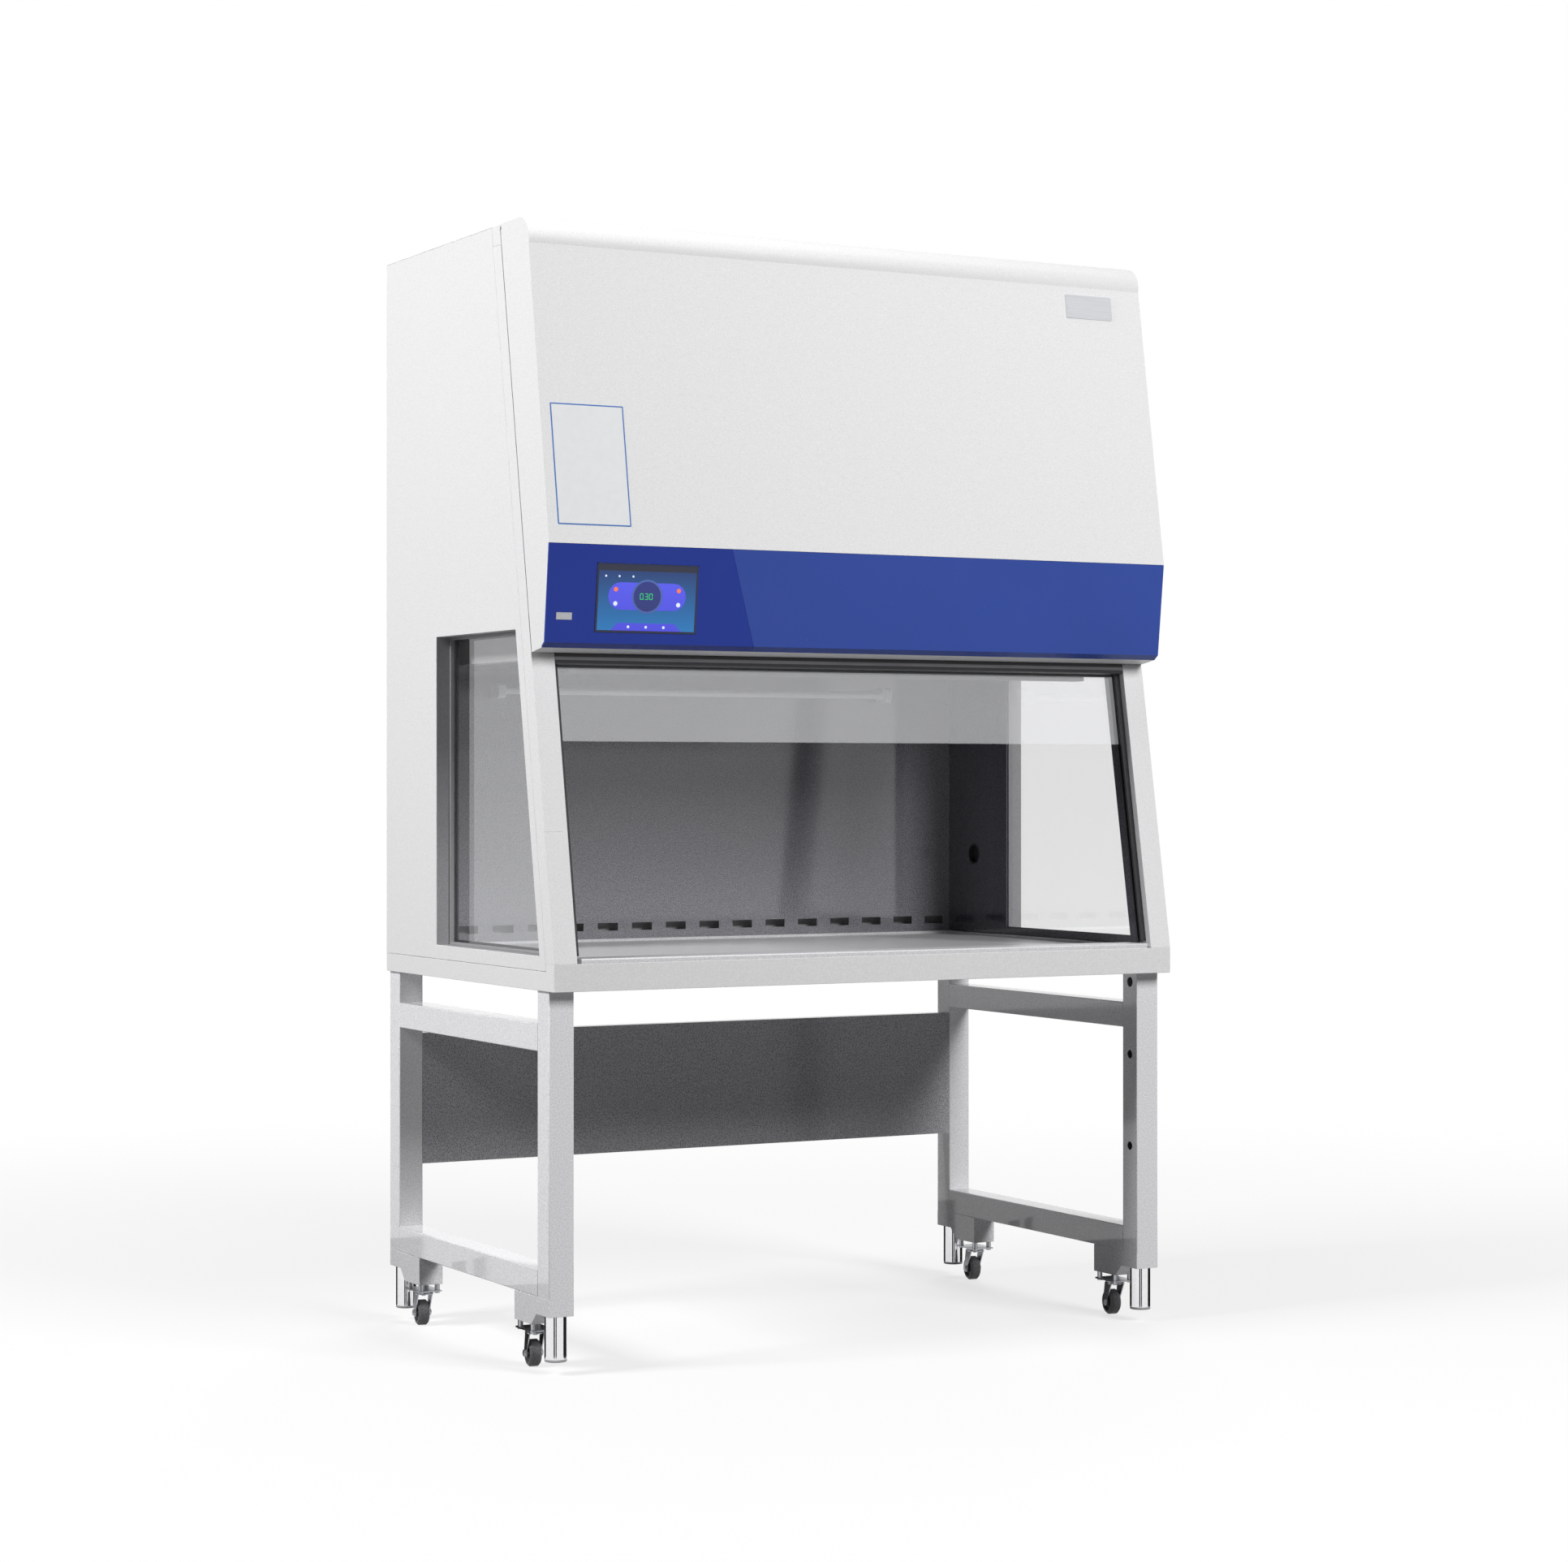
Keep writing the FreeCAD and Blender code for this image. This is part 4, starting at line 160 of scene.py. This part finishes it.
HANDS = ("left", "right")
ENDS = ("front", "rear")
ZINC = uneven("zinc plate", (0.38, 0.39, 0.41), (0.46, 0.47, 0.49), fleck=260.0, rough=0.32, lift=0.12,
              metal=1.0, waver=0.1)
WHEEL_GREY = uneven("grey rubber", (0.07, 0.07, 0.075), (0.12, 0.12, 0.125), fleck=320.0, rough=0.6,
                    lift=0.2)
ROUND_POLISH = (1, 1, 6)
CHROME, tree, surface = shader("polished steel", (0.82, 0.82, 0.84), 0.06, 1.0)
polish = tones(tree, grain(tree, 90.0, 3.0, ROUND_POLISH), 0.3, 0.7, (0.79, 0.79, 0.81), (0.85, 0.85, 0.87))
tree.links.new(polish, surface.inputs["Base Color"])
tree.links.new(spread(tree, grain(tree, 60.0, 3.0, ROUND_POLISH), 0.04, 0.10), surface.inputs["Roughness"])
dress(["caster_mounts"], ZINC)
for end in ENDS:
    for hand in HANDS:
        dress([f"caster_fork_{end}_{hand}"], ZINC)
        dress([f"caster_wheel_{end}_{hand}"], WHEEL_GREY)
        dress([f"levelling_foot_{end}_{hand}"], CHROME)


def keep(name, made, finish, body):
    """Turn finished mesh work into a piece that rides on its body."""
    mesh = bpy.data.meshes.new(name)
    made.to_mesh(mesh)
    made.free()
    mesh.materials.append(finish)
    piece = bpy.data.objects.new(name, mesh)
    bpy.context.scene.collection.objects.link(piece)
    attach(piece, body)


RING_STEPS = 48


def turned_ring(name, profile, x, y, finish, body):
    """Ring turned round an upright line at x, y from a closed profile of radius and height."""
    cut = bmesh.new()
    corners = [cut.verts.new((x + radius, y, high)) for radius, high in profile]
    outline = [cut.edges.new(ends) for ends in zip(corners, corners[1:] + corners[:1])]
    bmesh.ops.spin(cut, geom=corners + outline, cent=(x, y, 0.0), axis=(0.0, 0.0, 1.0),
                   angle=2 * math.pi, steps=RING_STEPS, use_merge=True)
    bmesh.ops.recalc_face_normals(cut, faces=list(cut.faces))
    for face in cut.faces:
        face.smooth = abs(face.normal.z) < 0.1
    keep(name, cut, finish, body)


PAD_GREY = uneven("pad rubber", (0.32, 0.32, 0.33), (0.40, 0.40, 0.41), fleck=300.0, rough=0.6, lift=0.15)
PAD_RING = [(0.0188, 0.0251), (0.0198, 0.0251), (0.0205, 0.0257),
            (0.0205, 0.0284), (0.0199, 0.0290), (0.0188, 0.0290)]
FOOT_SPOT = {}
for end in ENDS:
    for hand in HANDS:
        low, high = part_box(f"levelling_foot_{end}_{hand}")
        spot = FOOT_SPOT[end, hand] = (low + high) / 2
        turned_ring(f"foot_pad_{end}_{hand}", PAD_RING, spot.x, spot.y, PAD_GREY,
                    f"foot_{end}_{hand}")


# Base, frame and outer panels
# Folded steel sheet, powder coated white: the base pan, the leaning front posts with the beam
# across their tops, the two side panels, the rear panel and the top cover.

WHITE_PAINT = powder_coat("white paint", (0.72, 0.72, 0.73), (0.80, 0.80, 0.805), fleck=480.0, rough=0.36,
                          lift=0.10)
dress(["base_pan", "frame_posts", "side_panels", "rear_panel", "top_panel", "top_beam", "frame_hinges"],
      WHITE_PAINT, SHEET_EDGE)
PLUG_STEEL = uneven("turned steel", (0.46, 0.46, 0.48), (0.54, 0.54, 0.56), fleck=200.0, rough=0.3,
                    lift=0.15, metal=1.0, drawn=(1, 1, 8))
dress(["drain_plug", "drive_shaft", "usb_socket"], PLUG_STEEL)


# Work zone
# Side walls, back wall, tray, grille and armrest are stainless sheet with a fine matt grain,
# bent up at the edges. The tray and the grille lift out.

PEARL_FINE = 520.0
PEARL_FROM = 0.36
PEARL_TO = 0.64
SHEET_CLOUDS = 6.0
SHEET_WAVES = 5.0
WAVE_LIFT = 0.02
WAVE_DEEP = 0.001


def lacquered_sheet(name, dark, light, index, rough=0.08):
    """Stainless sheet with a fine pearled grain under a clear smooth surface that mirrors faintly."""
    finish, tree, surface = shader(name, light, rough)
    surface.inputs["IOR"].default_value = index
    pearls = tones(tree, grain(tree, PEARL_FINE), PEARL_FROM, PEARL_TO, dark, light)
    tree.links.new(pearls, surface.inputs["Base Color"])
    tree.links.new(spread(tree, grain(tree, SHEET_CLOUDS), rough - 0.03, rough + 0.04),
                   surface.inputs["Roughness"])
    relief(tree, surface, grain(tree, SHEET_WAVES), WAVE_LIFT, WAVE_DEEP)
    return finish


TRAY_EDGE = 0.0005
# The back wall and the side walls are darker than the tray: painted shade, deepest on the side walls.
SHADED_BACK_SHEET = lacquered_sheet("back wall sheet in painted shade", (0.12, 0.12, 0.135), (0.34, 0.34, 0.37), index=1.7)
dress(["rear_wall"], SHADED_BACK_SHEET)
SHADED_SIDE_SHEET = lacquered_sheet("side wall sheet in painted shade", (0.03, 0.03, 0.04), (0.10, 0.10, 0.12), index=1.6)
dress(["inner_walls", "diffuser"], SHADED_SIDE_SHEET)
TRAY_SHEET = lacquered_sheet("tray sheet", (0.60, 0.60, 0.62), (0.80, 0.80, 0.81), index=1.25, rough=0.3)
dress(["work_tray", "front_grille", "armrest"], TRAY_SHEET, TRAY_EDGE)
# On the window frames this grey is painted shade in the window reveals; the parts inside the cabinet have it
# as their own colour.
GREY_SHEET_AND_REVEAL_SHADE = powder_coat("grey sheet and reveal shade", (0.30, 0.30, 0.31), (0.36, 0.36, 0.37), fleck=500.0, rough=0.4,
                         lift=0.15)
dress(["window_frames", "plenum_box", "blower_housing", "drive_mounts", "electrical_box", "ceiling_front"],
      GREY_SHEET_AND_REVEAL_SHADE)


# Glass, seals and guides
# The side panes and the sash are clear toughened glass with ground edges, set in black rubber.
# The sash runs in plastic channels on the posts and passes the rubber lips of a header bar.

def clear_glass(name, mirror):
    """Thin clear sheet: it lets most light straight through and mirrors the rest."""
    finish, tree, surface = shader(name, (0.93, 0.94, 0.96), 0.02, 1.0)
    surface.inputs["Alpha"].default_value = mirror
    tree.links.new(spread(tree, grain(tree, 14.0), 0.01, 0.04), surface.inputs["Roughness"])
    return finish


dress(["window_panes"], clear_glass("pane glass", mirror=0.17))
dress(["sash_glass"], clear_glass("sash glass", mirror=0.20))
RUBBER = uneven("black rubber", (0.014, 0.014, 0.016), (0.022, 0.022, 0.025), fleck=400.0, rough=0.5,
                lift=0.12)
dress(["wall_seals", "header_seals", "sash_belts"], RUBBER)
BLACK_PLASTIC = uneven("black plastic", (0.025, 0.025, 0.028), (0.035, 0.035, 0.038), fleck=300.0,
                       rough=0.4, lift=0.08)
dress(["sash_guides", "idler_pulleys", "power_inlet"], BLACK_PLASTIC)
ALONG_BAR = (0.05, 1, 1)
ANODISED = uneven("grey anodised", (0.145, 0.145, 0.155), (0.175, 0.175, 0.185), fleck=200.0, rough=0.35,
                  lift=0.1, metal=0.8, drawn=ALONG_BAR)
dress(["header_bar", "sash_carrier"], ANODISED)


# Air path
# Pleated filters in light frames, a drum fan in its spiral scroll, the two motors and the lamps.
# All of them sit behind the hood and the panels and show only when the hood is lifted.

FAN_METAL = uneven("pressed aluminium", (0.58, 0.59, 0.60), (0.66, 0.67, 0.68), fleck=120.0, rough=0.32,
                   lift=0.1, metal=1.0)
dress(["blower_wheel"], FAN_METAL)
MOTOR_BLACK = powder_coat("motor paint", (0.02, 0.02, 0.022), (0.035, 0.035, 0.038), fleck=400.0,
                          rough=0.45, lift=0.2)
dress(["sash_motor", "blower_motor"], MOTOR_BLACK)
FILTER_WHITE = uneven("filter medium", (0.77, 0.77, 0.75), (0.82, 0.82, 0.80), fleck=350.0, rough=0.85,
                      lift=0.4)
dress(["supply_filter", "exhaust_filter"], FILTER_WHITE)
LAMP_WHITE = uneven("opal tube", (0.84, 0.85, 0.86), (0.88, 0.89, 0.90), fleck=60.0, rough=0.22, lift=0.02)
dress(["lamp_tubes"], LAMP_WHITE)


# Hood
# One folded steel cover over the sash drive and the fan, with a round shoulder and closed ends.
# It swings up on two hinges along its top edge.

dress(["hood_shell", "hood_hinges"], WHITE_PAINT, SHEET_EDGE)


# Fascia, screen and port cover
# Two gloss blue plastic plates with a slanted seam between them wrap under the foot of the hood.
# The touch screen stands a little proud of the left one, and a small flap hides the data port.

BLUE_DEEPER = 0.92
BLUE_CLOUDS = 3.0
BLUE_WAVER = 25.0
MOULD_FINE = 500.0
MOULD_DEEP = 0.0001


def gloss_blue(name, colour):
    """Moulded gloss plastic, a little deeper in tone here and there."""
    finish, tree, surface = shader(name, colour, 0.25)
    surface.inputs["Specular IOR Level"].default_value = 0.25
    deep = tuple(BLUE_DEEPER * part for part in colour)
    tree.links.new(tones(tree, grain(tree, BLUE_CLOUDS), 0.3, 0.7, deep, colour), surface.inputs["Base Color"])
    tree.links.new(spread(tree, grain(tree, BLUE_WAVER), 0.2, 0.3), surface.inputs["Roughness"])
    relief(tree, surface, grain(tree, MOULD_FINE), 0.04, MOULD_DEEP)
    return finish


dress(["fascia_left"], gloss_blue("blue left", (0.014, 0.040, 0.31)))
dress(["fascia_right"], gloss_blue("blue right", (0.034, 0.076, 0.37)))
COVER_GREY = uneven("satin cover", (0.42, 0.43, 0.45), (0.48, 0.49, 0.51), fleck=300.0, rough=0.35,
                    lift=0.06, metal=0.6)
dress(["usb_cover"], COVER_GREY)
BEZEL = uneven("screen bezel", (0.005, 0.010, 0.045), (0.007, 0.013, 0.055), fleck=60.0, rough=0.12,
               lift=0.0, waver=0.04)
dress(["touch_screen"], BEZEL)


# Screen picture
# Thin printed films lie one on another on the face of the touch screen: a dark bar on top, a
# violet capsule with a round dial in its middle, small round keys and a violet bar below.

HALF_DEPTH = 0.403
RIDGE_BACK = 0.022
RIDGE_Z = 1.506
RIDGE = Vector((0.0, RIDGE_BACK - HALF_DEPTH, RIDGE_Z))
BAND_IN = 0.0205
BAND_TALL = 0.179
BAND_TILT = math.atan2(BAND_IN, BAND_TALL)


def on_band(across, up, out=0.0):
    """Place on the leaning band: metres across, up along it from the ridge, and out of its face."""
    return Matrix.Translation(RIDGE) @ Matrix.Rotation(BAND_TILT, 4, "X") @ Vector((across, -out, up))


def sheet_cut(corners, rounding=0.0):
    """Flat sheet with straight edges, its corners rounded off where asked."""
    cut = bmesh.new()
    cut.faces.new([cut.verts.new((x, y, 0.0)) for x, y in corners])
    if rounding:
        bmesh.ops.bevel(cut, geom=list(cut.verts), offset=rounding, offset_type="OFFSET", segments=4,
                        profile=0.5, affect="VERTICES", material=-1)
    return cut


def slab(wide, tall, x=0.0, y=0.0, rounding=0.0):
    """Flat oblong round a middle at x, y."""
    left, right = x - wide / 2, x + wide / 2
    low, high = y - tall / 2, y + tall / 2
    return sheet_cut([(left, low), (right, low), (right, high), (left, high)], rounding)


def disc(radius, x=0.0, y=0.0, count=40):
    """Flat round plate with a middle at x, y."""
    cut = bmesh.new()
    bmesh.ops.create_circle(cut, cap_ends=True, segments=count, radius=radius,
                            matrix=Matrix.Translation((x, y, 0.0)))
    return cut


def lay(name, cut, thick, finish, place, out=0.0):
    """Give a flat cut its small thickness and lay it on a face of the hood."""
    grown = bmesh.ops.extrude_face_region(cut, geom=list(cut.faces))
    lifted = [part for part in grown["geom"] if isinstance(part, bmesh.types.BMVert)]
    bmesh.ops.translate(cut, verts=lifted, vec=(0.0, 0.0, thick))
    bmesh.ops.recalc_face_normals(cut, faces=list(cut.faces))
    if cut.calc_volume(signed=True) < 0.0:
        bmesh.ops.reverse_faces(cut, faces=list(cut.faces))
    for corner in cut.verts:
        corner.co = place(corner.co.x, corner.co.y, out + corner.co.z)
    keep(name, cut, finish, "hood")


PICTURE_LOW_Z = 1.347
PICTURE_HIGH_Z = 1.472


def lit_film(name, low, high, glow=0.35):
    """Printed film with a light behind it, shaded from one tone to another up the screen."""
    finish, tree, surface = shader(name, high, 0.2)
    place = tree.nodes.new("ShaderNodeTexCoord")
    parts = tree.nodes.new("ShaderNodeSeparateXYZ")
    rise = tree.nodes.new("ShaderNodeMapRange")
    rise.inputs["From Min"].default_value = PICTURE_LOW_Z
    rise.inputs["From Max"].default_value = PICTURE_HIGH_Z
    tree.links.new(place.outputs["Object"], parts.inputs["Vector"])
    tree.links.new(parts.outputs["Z"], rise.inputs["Value"])
    tone = tones(tree, rise.outputs["Result"], 0.0, 1.0, low, high)
    tree.links.new(tone, surface.inputs["Base Color"])
    tree.links.new(tone, surface.inputs["Emission Color"])
    surface.inputs["Emission Strength"].default_value = glow
    return finish


SCREEN_X = -0.469
SCREEN_UP = -0.09663
SCREEN_PROUD = 0.001
FILM = 0.00008


def on_screen(x, y, out=0.0):
    """Place on the face of the touch screen, measured from its middle."""
    return on_band(SCREEN_X + x, SCREEN_UP + y, SCREEN_PROUD + out)


def print_on(name, cut, tone, layer=0):
    """Lay a film on the screen, over as many films as its layer says."""
    lay(f"screen_{name}", cut, FILM, tone, on_screen, layer * FILM)


PICTURE_WIDE = 0.198
PICTURE_TALL = 0.118
TOP_BAR_TALL = 0.009
CAPSULE_WIDE = 0.158
CAPSULE_TALL = 0.050
CAPSULE_ROUND = 0.0245
DIAL_Y = 0.004
DIAL_RADIUS = 0.0275
RIM_RADIUS = 0.031
LOWER_BAR = [(-0.072, -0.059), (0.072, -0.059), (0.058, -0.045), (-0.058, -0.045)]
BAR_DARK = (0.01, 0.012, 0.03)
VIOLET = lit_film("capsule violet", (0.06, 0.06, 0.62), (0.09, 0.10, 0.78))
print_on("picture", slab(PICTURE_WIDE, PICTURE_TALL),
         lit_film("picture blue", (0.012, 0.16, 0.42), (0.008, 0.02, 0.11)))
print_on("top_bar", slab(PICTURE_WIDE, TOP_BAR_TALL, 0.0, (PICTURE_TALL - TOP_BAR_TALL) / 2),
         lit_film("bar dark", BAR_DARK, BAR_DARK), layer=1)
print_on("capsule", slab(CAPSULE_WIDE, CAPSULE_TALL, 0.0, DIAL_Y, CAPSULE_ROUND), VIOLET, layer=1)
print_on("lower_bar", sheet_cut(LOWER_BAR), VIOLET, layer=1)
print_on("dial_rim", disc(RIM_RADIUS, 0.0, DIAL_Y),
         lit_film("dial rim", (0.05, 0.09, 0.30), (0.06, 0.12, 0.36)), layer=2)
print_on("dial", disc(DIAL_RADIUS, 0.0, DIAL_Y),
         lit_film("dial face", (0.012, 0.02, 0.12), (0.02, 0.03, 0.2)), layer=3)

GREEN = lit_film("digit green", (0.02, 0.55, 0.10), (0.02, 0.62, 0.12), glow=0.6)
STROKE = 0.0011
STROKE_ACROSS = (0.0050, STROKE)
STROKE_UPRIGHT = (STROKE, 0.0046)
DIGIT_SIDE = 0.0028
DIGIT_TOP = 0.0052
STROKES = {"a": (0, 1), "b": (1, 0.5), "c": (1, -0.5), "d": (0, -1), "e": (-1, -0.5), "f": (-1, 0.5),
           "g": (0, 0)}
DIGITS = (("abcdef", -0.0115), ("abcdg", -0.0015), ("abcdef", 0.0075))
for index, (strokes, x) in enumerate(DIGITS):
    for stroke in strokes:
        side, rise = STROKES[stroke]
        wide, tall = STROKE_UPRIGHT if side else STROKE_ACROSS
        bar = slab(wide, tall, x + side * DIGIT_SIDE, DIAL_Y + rise * DIGIT_TOP)
        print_on(f"digit_{index}_{stroke}", bar, GREEN, layer=4)
POINT_X = -0.0066
print_on("digit_point", slab(STROKE, STROKE, POINT_X, DIAL_Y - DIGIT_TOP), GREEN, layer=4)

KEY_PALE = (0.62, 0.68, 0.85)
KEY_ORANGE = (0.80, 0.16, 0.05)
PALE = lit_film("key pale", KEY_PALE, KEY_PALE, glow=0.5)
ORANGE = lit_film("key orange", KEY_ORANGE, KEY_ORANGE, glow=0.5)
BIG_KEY = 0.0042
BAR_KEY = 0.0026
TOP_DOT = 0.0020
KEYS = [(-0.064, 0.016, BIG_KEY, ORANGE), (-0.064, -0.010, BIG_KEY, PALE), (0.064, 0.016, BIG_KEY, ORANGE),
        (0.064, -0.010, BIG_KEY, PALE), (-0.036, -0.052, BAR_KEY, PALE), (0.0, -0.052, BAR_KEY, PALE),
        (0.036, -0.052, BAR_KEY, PALE), (-0.085, 0.040, TOP_DOT, PALE), (-0.058, 0.040, TOP_DOT, PALE),
        (-0.030, 0.040, TOP_DOT, PALE)]
for index, (x, y, radius, tone) in enumerate(KEYS):
    print_on(f"key_{index}", disc(radius, x, y, count=20), tone, layer=2)


# Card and plate on the hood
# A blank white card with a thin blue edge, and a bare satin plate whose face stands a little over
# its rim, are stuck to the long front face of the hood.

SHOULDER_BACK = 0.112
SHOULDER_Z = 2.059
FACE_LEAN = math.atan2(SHOULDER_BACK - RIDGE_BACK, SHOULDER_Z - RIDGE_Z)


def on_face(across, up, out=0.0):
    """Place on the long front face: metres across, up along it from the ridge, and out of it."""
    return Matrix.Translation(RIDGE) @ Matrix.Rotation(-FACE_LEAN, 4, "X") @ Vector((across, -out, up))


CARD_X = -0.5765
CARD_Z = 1.6515
CARD_UP = (CARD_Z - RIDGE_Z) / math.cos(FACE_LEAN)
CARD_WIDE = 0.147
CARD_HIGH = 0.226
CARD_EDGE = 0.0025
EDGE_THICK = 0.0003
CARD_THICK = 0.0001
CARD_BLUE = uneven("card edge", (0.045, 0.15, 0.42), (0.055, 0.17, 0.48), fleck=80.0, rough=0.35, lift=0.02)
CARD_WHITE = uneven("card face", (0.74, 0.75, 0.76), (0.76, 0.77, 0.78), fleck=60.0, rough=0.35, lift=0.02)
lay("card_edge", slab(CARD_WIDE, CARD_HIGH, CARD_X, CARD_UP, rounding=0.002), EDGE_THICK, CARD_BLUE,
    on_face)
lay("card_face", slab(CARD_WIDE - 2 * CARD_EDGE, CARD_HIGH - 2 * CARD_EDGE, CARD_X, CARD_UP, rounding=0.001),
    CARD_THICK, CARD_WHITE, on_face, EDGE_THICK)

PLATE_X = 0.546
PLATE_Z = 2.0195
PLATE_UP = (PLATE_Z - RIDGE_Z) / math.cos(FACE_LEAN)
PLATE_WIDE = 0.108
PLATE_HIGH = 0.048
PLATE_RIM = 0.003
RIM_THICK = 0.0012
PLATE_THICK = 0.0002
PLATE_SATIN = uneven("bare plate", (0.60, 0.61, 0.64), (0.64, 0.65, 0.68), fleck=300.0, rough=0.31,
                     lift=0.05, metal=0.7, drawn=ALONG_BAR)
lay("plate_rim", slab(PLATE_WIDE, PLATE_HIGH, PLATE_X, PLATE_UP, rounding=0.0015), RIM_THICK, PLATE_SATIN,
    on_face)
lay("plate_face", slab(PLATE_WIDE - 2 * PLATE_RIM, PLATE_HIGH - 2 * PLATE_RIM, PLATE_X, PLATE_UP,
                       rounding=0.001), PLATE_THICK, PLATE_SATIN, on_face, RIM_THICK)


# Floor
# A plain pale floor that keeps the cabinet's shadow and runs out into the white surroundings.
# It throws back little light, so that the underside and the stand keep their shade.

def flat_stage(name, corners, finish):
    """Flat sheet that belongs to the stage and not to the cabinet."""
    mesh = bpy.data.meshes.new(name)
    sheet = bmesh.new()
    sheet.faces.new([sheet.verts.new(corner) for corner in corners])
    sheet.to_mesh(mesh)
    sheet.free()
    mesh.materials.append(finish)
    stage_piece = bpy.data.objects.new(name, mesh)
    bpy.context.scene.collection.objects.link(stage_piece)
    return stage_piece


FLOOR_REACH = 60.0
FADE_FROM = 0.8
FADE_TO = 4.6
FADE_LEAST = 0.70
BOUNCE = 0.04
FLOOR_WHITE, tree, surface = shader("floor", (0.80, 0.80, 0.80), 0.9)
surface.inputs["Specular IOR Level"].default_value = 0.0
dull = tree.nodes.new("ShaderNodeBsdfDiffuse")
dull.inputs["Color"].default_value = (BOUNCE, BOUNCE, BOUNCE, 1.0)
glow = tree.nodes.new("ShaderNodeEmission")
path = tree.nodes.new("ShaderNodeLightPath")
place = tree.nodes.new("ShaderNodeTexCoord")
far = tree.nodes.new("ShaderNodeVectorMath")
far.operation = "LENGTH"
fade = tree.nodes.new("ShaderNodeMapRange")
fade.interpolation_type = "SMOOTHSTEP"
fade.inputs["From Min"].default_value = FADE_FROM
fade.inputs["From Max"].default_value = FADE_TO
fade.inputs["To Min"].default_value = FADE_LEAST
seen_floor = tree.nodes.new("ShaderNodeMixShader")
floor_mix = tree.nodes.new("ShaderNodeMixShader")
tree.links.new(place.outputs["Object"], far.inputs[0])
tree.links.new(far.outputs["Value"], fade.inputs["Value"])
tree.links.new(fade.outputs["Result"], seen_floor.inputs["Fac"])
tree.links.new(surface.outputs["BSDF"], seen_floor.inputs[1])
tree.links.new(glow.outputs["Emission"], seen_floor.inputs[2])
tree.links.new(path.outputs["Is Diffuse Ray"], floor_mix.inputs["Fac"])
tree.links.new(seen_floor.outputs["Shader"], floor_mix.inputs[1])
tree.links.new(dull.outputs["BSDF"], floor_mix.inputs[2])
tree.links.new(floor_mix.outputs["Shader"], tree.nodes["Material Output"].inputs["Surface"])
flat_stage("floor", [(-FLOOR_REACH, -FLOOR_REACH, 0), (FLOOR_REACH, -FLOOR_REACH, 0),
                     (FLOOR_REACH, FLOOR_REACH, 0), (-FLOOR_REACH, FLOOR_REACH, 0)], FLOOR_WHITE)


# Black cards round the feet
# Small upright cards stand round each polished foot, as a studio sets them beside round metal.
# Only mirrors see them, so that the pillars show dark bands and no card shows.

CARD_BLACK, tree, surface = shader("black card", (0.01, 0.01, 0.01), 1.0)


def black_card(name, x0, y0, x1, y1, high):
    """Upright card that only mirrors see."""
    card = flat_stage(name, [(x0, y0, 0.0), (x1, y1, 0.0), (x1, y1, high), (x0, y0, high)], CARD_BLACK)
    card.visible_camera = False
    card.visible_diffuse = False
    card.visible_shadow = False
    card.visible_transmission = False


TO_CAMERA = Vector((-0.477, -0.879, 0.0))
CARD_REACH = 0.22
CARD_TALL = 0.14
CARD_SPANS = ((-16, -3), (3, 13), (84, 140), (-175, -108))
for (end, hand), spot in FOOT_SPOT.items():
    for index, span in enumerate(CARD_SPANS):
        ways = [Matrix.Rotation(math.radians(turn), 3, "Z") @ TO_CAMERA for turn in span]
        near, away = (spot + CARD_REACH * way for way in ways)
        black_card(f"card {index} at the {end} {hand} foot", near.x, near.y, away.x, away.y, CARD_TALL)


# Surroundings and lamps
# White surroundings that the camera and mirrors see in full and that light the cabinet only a
# little. Three soft lamps do the rest: high at the left, at the right in front, and behind.

SEEN_WHITE = 1.0
SHADE_LIGHT = 0.04
world = bpy.data.worlds.new("surroundings")
bpy.context.scene.world = world
world.use_nodes = True
tree = world.node_tree
sky = tree.nodes["Background"]
sky.inputs["Color"].default_value = (1, 1, 1, 1)
path = tree.nodes.new("ShaderNodeLightPath")
level = tree.nodes.new("ShaderNodeMapRange")
level.inputs["To Min"].default_value = SEEN_WHITE
level.inputs["To Max"].default_value = SHADE_LIGHT
tree.links.new(path.outputs["Is Diffuse Ray"], level.inputs["Value"])
tree.links.new(level.outputs["Result"], sky.inputs["Strength"])


def soft_lamp(name, place, aim, size, watts):
    """Square lamp that lights the cabinet and isn't seen in its mirrors."""
    data = bpy.data.lights.new(name, "AREA")
    data.shape = "SQUARE"
    data.size = size
    data.energy = watts
    lamp = bpy.data.objects.new(name, data)
    bpy.context.scene.collection.objects.link(lamp)
    lamp.location = place
    lamp.rotation_euler = (Vector(aim) - Vector(place)).to_track_quat("-Z", "Y").to_euler()
    lamp.visible_glossy = False


soft_lamp("lamp at the left", place=(-7.2, -0.2, 6.0), aim=(0.0, 0.0, 1.0), size=2.4, watts=720.0)
soft_lamp("lamp at the right", place=(2.2, -6.9, 5.0), aim=(0.0, 0.0, 1.2), size=3.0, watts=590.0)
soft_lamp("lamp behind", place=(4.5, 5.5, 4.5), aim=(0.0, 0.0, 1.0), size=3.0, watts=180.0)


# Camera
# It stands level, to the left in front of the cabinet, where the photograph was taken from, and
# looks through a long lens.

LENS = 77.25
FILM_WIDE = 36.0
CAMERA_PLACE = (-3.1837, -5.9034, 1.0767)
CAMERA_TURN = math.radians(-28.467)
camera_data = bpy.data.cameras.new("camera")
camera_data.lens = LENS
camera_data.sensor_width = FILM_WIDE
camera = bpy.data.objects.new("camera", camera_data)
camera.location = CAMERA_PLACE
camera.rotation_euler = Euler((math.radians(90), 0, CAMERA_TURN))
bpy.context.scene.collection.objects.link(camera)
bpy.context.scene.camera = camera
bpy.context.scene.view_settings.view_transform = "Standard"
